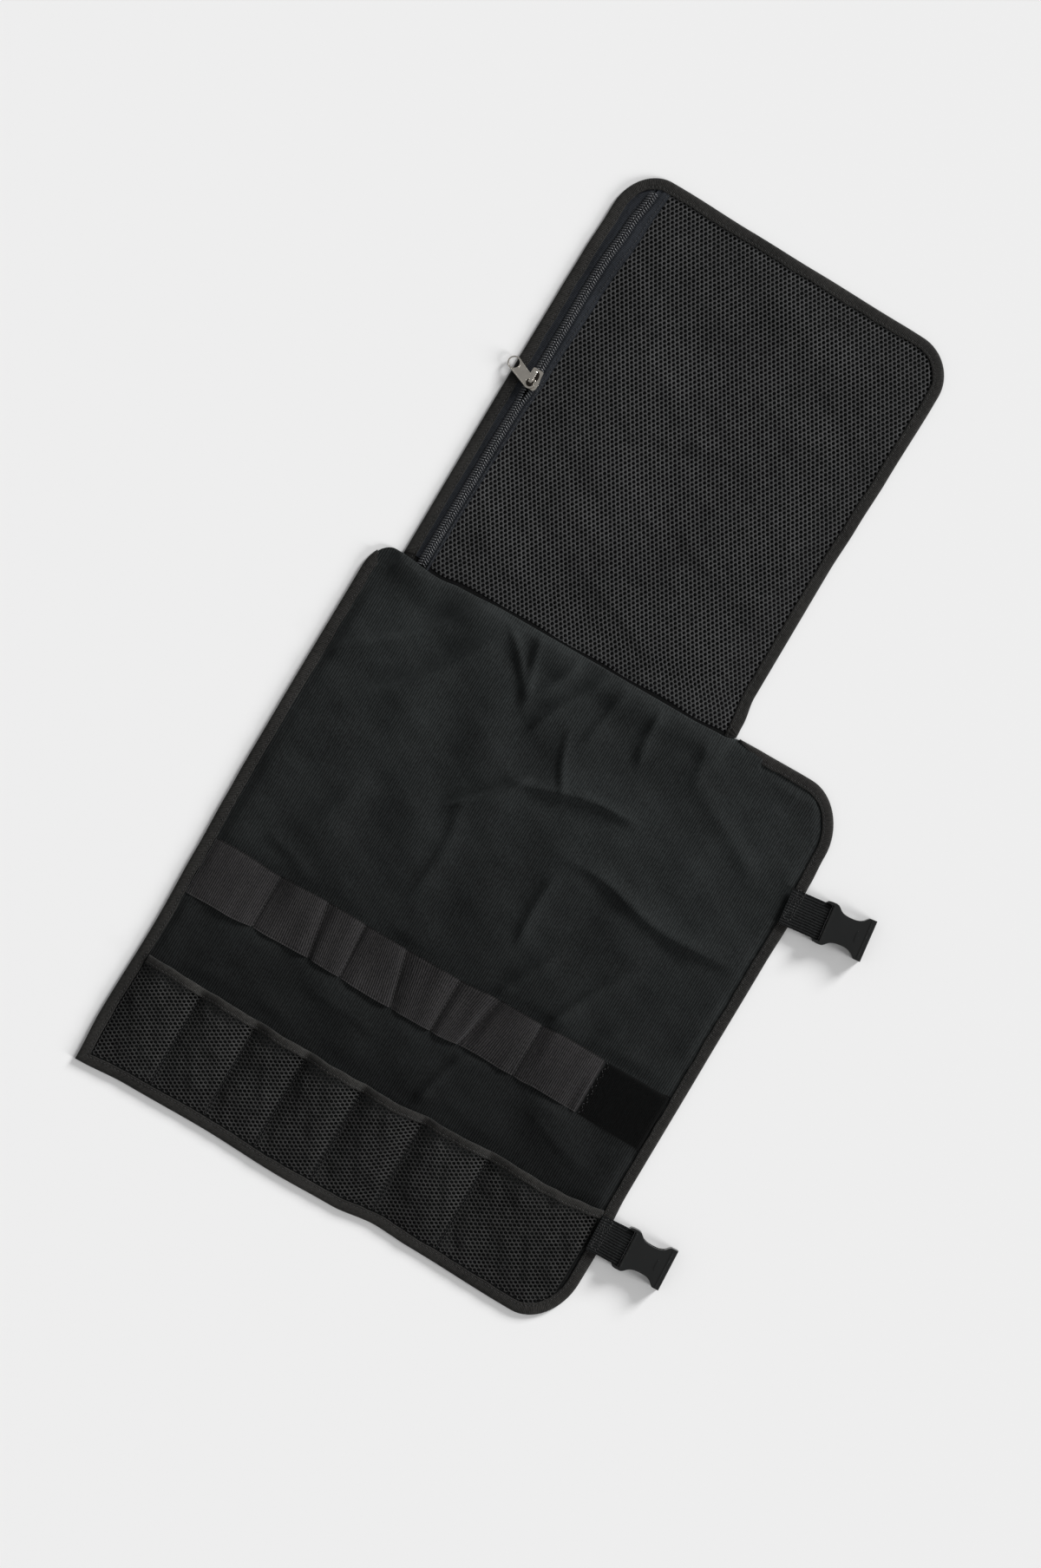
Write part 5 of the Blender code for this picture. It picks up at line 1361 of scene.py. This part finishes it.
def foot_y(x, inset=LEG_END + SEWN_CLEARANCE):
    """The bottom binding's inner edge, with its round right corner."""
    across, up = PANEL_CORNERS[1]
    out = np.clip((x - (RIGHT - across)) / (across - inset), 0.0, 1.0)
    return np.where(out > 0, BOTTOM + up - (up - inset) * np.sqrt(1 - out**2), BOTTOM + inset)


POCKET_START = LEFT + LEG_END + SEWN_CLEARANCE
POCKET_END = RIGHT - LEG_END - SEWN_CLEARANCE


def pocket_columns(x):
    """The share of the rise and the nearness to a seam at places across the pockets."""
    xs, height, _, seam = arches(POCKET_SECTIONS, POCKET_START, POCKET_END - POCKET_START, 1500)
    return np.interp(x, xs, height), np.interp(x, xs, seam)


def pocket_top(x, y):
    """Height of the pockets' net."""
    height, seam = pocket_columns(x)
    share = np.clip((y - foot_y(x)) / (mouth_y(x) - foot_y(x)), 0.0, 1.0)
    swell = 1 - (1 - share) ** 2.2
    over_leg = smooth((y - (mouth_y(x) - MOUTH_BINDING_WIDTH - 0.006)) / 0.005)
    slack = ripples(x, y, 71, 0.034) * 0.0006 + ripples(x, y, 72, 0.014) * 0.00025
    slack = slack * smooth(seam / 0.010) * smooth(share / 0.15) * smooth((1 - share) / 0.15)
    base = SEAT + 0.0007 + POCKET_RISE * height * swell + 0.0009 * over_leg
    return base + np.maximum(slack, -0.001 * height)


def make_pockets():
    """The pockets' open net, sewn down between them."""
    build = Build()

    def kept(x, y):
        inside = (x > POCKET_START + 0.0012) & (x < POCKET_END - 0.0012)
        return inside & (y > foot_y(x) + 0.0010) & (y < mouth_y(x) - 0.0035)

    def place(x, y):
        real_x, real_y = on_panel(x, y)
        return np.stack([real_x, real_y, pocket_top(x, y)], -1)

    net(
        build, (POCKET_START - 0.004, POCKET_END), (BOTTOM, BOTTOM + 0.125), 3.72 * MM, 3.17 * MM,
        (1.42 * MM, 1.78 * MM), kept, place, turned=True,
    )
    for at, _ in seam_places(POCKET_SECTIONS, POCKET_START, POCKET_END - POCKET_START)[1:-1]:
        foot, mouth = float(foot_y(np.array(at))), float(mouth_y(np.array(at)))
        for shift in (-0.0007, 0.0007):
            y = np.linspace(foot + 0.001, mouth - 0.001, 40)
            x = np.full(40, at + shift)
            real_x, real_y = on_panel(x, y)
            thread(build, np.stack([real_x, real_y, pocket_top(x, y) + 0.0001], -1), (0, 0, 1))
        # Painted shade: a near-black strip of backing cloth laid over the net along the seam, where it
        # dips between the crowned pockets
        rows = np.linspace(foot + 0.001, mouth - 0.003, 40)
        x = at + np.linspace(-0.0011, 0.0011, 5)[:, None] + 0 * rows[None]
        y = rows[None] + 0 * x
        real_x, real_y = on_panel(x, y)
        upper = np.stack([real_x, real_y, pocket_top(x, y) + 0.00012], -1)
        sheet_solid(build, upper, upper - (0, 0, 0.0004), slot=2)
    piece = declare(build.finish("pocket_net", POCKET_NET, THREAD, BACKING_AND_SHADE), "pocket_mesh")
    return piece


def make_mouth_tape():
    """The tape folded over the pockets' top edge."""
    count = 330
    x = np.linspace(POCKET_START, POCKET_END, count)
    section = (
        (7.75, 0.55), (7.7, 1.05), (7.2, 1.35), (6.5, 1.30), (6.0, 1.10), (5.5, 1.32), (4.2, 1.52),
        (2.4, 1.50), (1.2, 1.25), (0.4, 0.75), (0.0, 0.05), (0.4, -0.55), (1.2, -0.85), (7.5, -0.85),
        (7.5, -0.35), (1.6, -0.30), (1.0, 0.1), (1.6, 0.5),
    )
    build = Build()
    seam = pocket_columns(x)[1]
    rings, places = [], []
    girth = 0.0
    waver = 0.00018 * ripples(x, 0 * x, 81, 0.026)
    for index, (back, rise) in enumerate(section):
        y = mouth_y(x) - back * MM + waver
        over = rise * MM * (1 - 0.25 * np.exp(-seam / 0.003))
        z = pocket_top(x, np.minimum(y, mouth_y(x) - 0.0008)) + over
        real_x, real_y = on_panel(x, y)
        rings.append(np.stack([real_x, real_y, z], -1))
        if index:
            before = section[index - 1]
            girth += math.hypot(back - before[0], rise - before[1]) * MM
        places.append(np.stack([x, np.full(count, girth)], -1))
    rings = np.stack(rings, 1)
    sweep(build, rings, np.stack(places, 1))
    thread(build, rings[:, 4] + (0, 0, 0.00018), (0, 0, 1))
    piece = declare(build.finish("mouth_tape", TAPE, THREAD), "pocket_binding")


def strap_root(up):
    """Where a strap leaves the panel's edge."""
    x, y = on_panel(np.array(RIGHT), np.array(BOTTOM + up))
    return float(x), float(y)


def make_strap(name, up, reach, lean):
    """Webbing sewn on the binding, out, round the buckle's bar and back."""
    half = WEBBING_THICKNESS / 2
    bar = BUCKLE_HEIGHT / 2
    lower = 0.0041 + GAP + half
    upper = lower + WEBBING_THICKNESS + GAP * 0.5
    turn_up = BAR_HEIGHT / 2 + GAP + half
    turn_out = BAR_WIDTH / 2 + GAP + half
    path = bend([
        (-0.0080, lower), (0.001, lower), (reach * 0.45, (lower + bar - turn_up) / 2),
        (reach - 0.004, bar - turn_up), (reach + 0.0016, bar - turn_up),
        (reach + turn_out, bar - turn_up * 0.9),
        (reach + turn_out + 0.0002, bar), (reach + turn_out, bar + turn_up * 0.9),
        (reach + 0.0016, bar + turn_up),
        (reach - 0.004, bar + turn_up), (reach * 0.45, (upper + bar + turn_up) / 2), (0.001, upper),
        (-0.0106, upper), (-0.0106, upper),
    ], radius_steps=3)
    ahead = np.gradient(path, axis=0)
    ahead /= np.maximum(np.linalg.norm(ahead, axis=1, keepdims=True), 1e-9)
    normal = np.stack([-ahead[:, 1], ahead[:, 0]], 1)
    steps = np.linalg.norm(np.diff(path, axis=0), axis=1)
    travelled = np.concatenate(([0], np.cumsum(steps)))
    across = np.linspace(-1, 1, 30)
    root = strap_root(up)

    def place(side):
        thin = half * (1 - 0.75 * np.clip((np.abs(across) - 0.955) / 0.045, 0, 1) ** 2)
        out = path[:, None, 0] + side * normal[:, None, 0] * thin[None]
        z = path[:, None, 1] + side * normal[:, None, 1] * thin[None]
        y = across[None, :] * WEBBING_WIDTH / 2 + 0 * out
        past = out - reach
        turned_x = reach + past * math.cos(lean) - y * math.sin(lean)
        turned_y = past * math.sin(lean) + y * math.cos(lean)
        return np.stack([root[0] + turned_x, root[1] + turned_y, z], -1)

    build = Build()
    places = np.stack([
        np.broadcast_to(across[None] * WEBBING_WIDTH / 2, (len(path), 30)),
        np.broadcast_to(travelled[:, None], (len(path), 30)),
    ], -1)
    sheet_solid(build, place(-1), place(1), places)
    box_x = (-0.0078, -0.0010)
    z = upper + half + 0.0001
    for line in (
        ((box_x[0], -0.0135), (box_x[0], 0.0135)), ((box_x[1], -0.0135), (box_x[1], 0.0135)),
        ((box_x[0], -0.0135), (box_x[1], -0.0135)), ((box_x[0], 0.0135), (box_x[1], 0.0135)),
        ((box_x[0], -0.0135), (box_x[1], 0.0135)), ((box_x[0], 0.0135), (box_x[1], -0.0135)),
    ):
        share = np.linspace(0, 1, 12)[:, None]
        flat = np.array(line[0]) + (np.array(line[1]) - line[0]) * share
        points = np.column_stack([root[0] + flat[:, 0], root[1] + flat[:, 1], np.full(12, z)])
        thread(build, points, (0, 0, 1), length=2.0 * MM, space=0.6 * MM)
    piece = declare(build.finish("webbing_" + name, WEBBING, THREAD), "strap_" + name)


def buckle_mesh():
    """A side-release socket with rounded edges, bar, slot, open flanks and a mouth."""
    near = -BAR_WIDTH / 2
    side = np.array([
        (near + along_ * BUCKLE_LENGTH, half * BUCKLE_HALF_WIDTH) for along_, half in BUCKLE_FLANK
    ])
    fine = np.concatenate([side[:1], bend(side[1:-1], radius_steps=2), side[-1:]])
    shape = np.concatenate([np.stack([fine[:, 0], -fine[:, 1]], 1), fine[::-1]])
    body = prism("socket", shape, 0.0, BUCKLE_HEIGHT, PLASTIC)
    shell = bmesh.new()
    shell.from_mesh(body.data)
    rims = [e for e in shell.edges if abs(e.verts[0].co.z - e.verts[1].co.z) < 1e-7]
    bmesh.ops.bevel(
        shell, geom=rims, offset=0.0013, segments=3, profile=0.6, affect="EDGES", clamp_overlap=True
    )
    shell.to_mesh(body.data)
    shell.free()
    far = near + BUCKLE_LENGTH
    past = 0.005
    half = WEBBING_WIDTH / 2 + GAP

    def box(low, high):
        shape_ = ((low[0], low[1]), (high[0], low[1]), (high[0], high[1]), (low[0], high[1]))
        return prism("box", shape_, low[2], high[2])

    middle = BUCKLE_HEIGHT / 2
    slot_end = BAR_WIDTH / 2 + SLOT_WIDTH * 0.55
    cut(body, box((BAR_WIDTH / 2, -half, -past), (slot_end, half, BUCKLE_HEIGHT + past)))
    cut(body, box((near - past, -half, -past), (BAR_WIDTH / 2 + 0.0005, half, middle - BAR_HEIGHT / 2)))
    cut(body, box(
        (near - past, -half, middle + BAR_HEIGHT / 2),
        (BAR_WIDTH / 2 + 0.0005, half, BUCKLE_HEIGHT + past),
    ))
    cut(body, box(
        (far - SOCKET_DEPTH, -SOCKET_HALF_WIDTH, BUCKLE_WALL),
        (far + past, SOCKET_HALF_WIDTH, BUCKLE_HEIGHT - BUCKLE_WALL),
    ))
    # Shallow relief on both faces: a lip behind the slot, a rim before the mouth and a lens mark
    raised = 0.00045
    turns = np.linspace(0, math.pi, 14)
    arc = np.stack([0.0021 * np.sin(turns), 0.0047 * np.cos(turns)], 1)
    lens = np.concatenate([arc, arc[::-1][1:-1] * (-0.35, 1)])[::-1] + (far - 0.0112, 0.0)
    for low, high in ((BUCKLE_HEIGHT - 0.0006, BUCKLE_HEIGHT + raised), (0.0, 0.0006)):
        cut(body, box((slot_end + 0.0003, -half, low), (slot_end + 0.0015, half, high)), "UNION")
        cut(body, box((far - 0.0042, -0.0168, low), (far - 0.0032, 0.0168, high)), "UNION")
        cut(body, prism("lens", lens, low, high), "UNION")
    body.data.materials.clear()
    body.data.materials.append(PLASTIC)
    tidy_bevel(body, 0.00028, 2, 42)
    graph = bpy.context.evaluated_depsgraph_get()
    made = bpy.data.meshes.new_from_object(body.evaluated_get(graph))
    bpy.data.objects.remove(body)
    return made


def make_buckles():
    """Both sockets, each turned with its strap."""
    mesh = buckle_mesh()
    for name, up, reach, lean in STRAPS:
        piece = bpy.data.objects.new("socket_" + name, mesh.copy())
        bpy.context.scene.collection.objects.link(piece)
        root = strap_root(up)
        move = Matrix.Translation((root[0] + reach, root[1], 0.0))
        piece.matrix_world = move @ Matrix.Rotation(lean, 4, "Z")
        declare(piece, "buckle_" + name)


def dress_backing():
    """The flap's backing keeps its CAD shape, with a cloth finish."""
    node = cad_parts["flap_panel"]
    for index in range(len(node.data.materials)):
        node.material_slots[index].material = BACKING_AND_SHADE


def make_stage():
    """Floor, lights and camera."""
    floor_mesh = bpy.data.meshes.new("floor")
    corners = [(x * FLOOR_REACH, y * FLOOR_REACH, 0) for x, y in ((-1, -1), (1, -1), (1, 1), (-1, 1))]
    floor_mesh.from_pydata(corners, [], [(0, 1, 2, 3)])
    floor = bpy.data.objects.new("floor", floor_mesh)
    bpy.context.scene.collection.objects.link(floor)
    paper = Shader("paper_look", (FLOOR_SHADE,) * 3, 0.9)
    floor_mesh.materials.append(paper.material)
    world = bpy.data.worlds.new("studio")
    world.use_nodes = True
    world.node_tree.nodes["Background"].inputs[0].default_value = (1.0, 1.0, 1.0, 1.0)
    world.node_tree.nodes["Background"].inputs[1].default_value = SKY_STRENGTH
    bpy.context.scene.world = world
    bpy.context.scene.view_settings.view_transform = "Standard"
    for name, towards, strength, size in LIGHTS:
        data = bpy.data.lights.new(name, "SUN")
        data.energy = strength
        data.angle = math.radians(size)
        lamp = bpy.data.objects.new(name, data)
        lamp.location = Vector(towards) * 3
        lamp.rotation_euler = (-Vector(towards)).to_track_quat("-Z", "Y").to_euler()
        bpy.context.scene.collection.objects.link(lamp)
    camera_data = bpy.data.cameras.new("camera")
    camera = bpy.data.objects.new("camera", camera_data)
    bpy.context.scene.collection.objects.link(camera)
    bpy.context.scene.camera = camera
    camera_data.sensor_fit = "VERTICAL"
    camera_data.sensor_height = 36.0
    camera_data.lens = camera_data.sensor_height * (CAMERA_HEIGHT - SEEN_LEVEL) / SEEN_HEIGHT
    camera_data.clip_end = 20.0
    camera.location = (*CAMERA_AIM, CAMERA_HEIGHT)
    camera.rotation_euler = (0.0, 0.0, CAMERA_TURN)


make_stage()
make_panel()
make_bindings()
dress_backing()
make_flap_net()
make_tapes()
make_coils()
make_slider()
make_pull()
make_band()
make_patch()
make_pockets()
make_mouth_tape()
for strap in STRAPS:
    make_strap(*strap)
make_buckles()
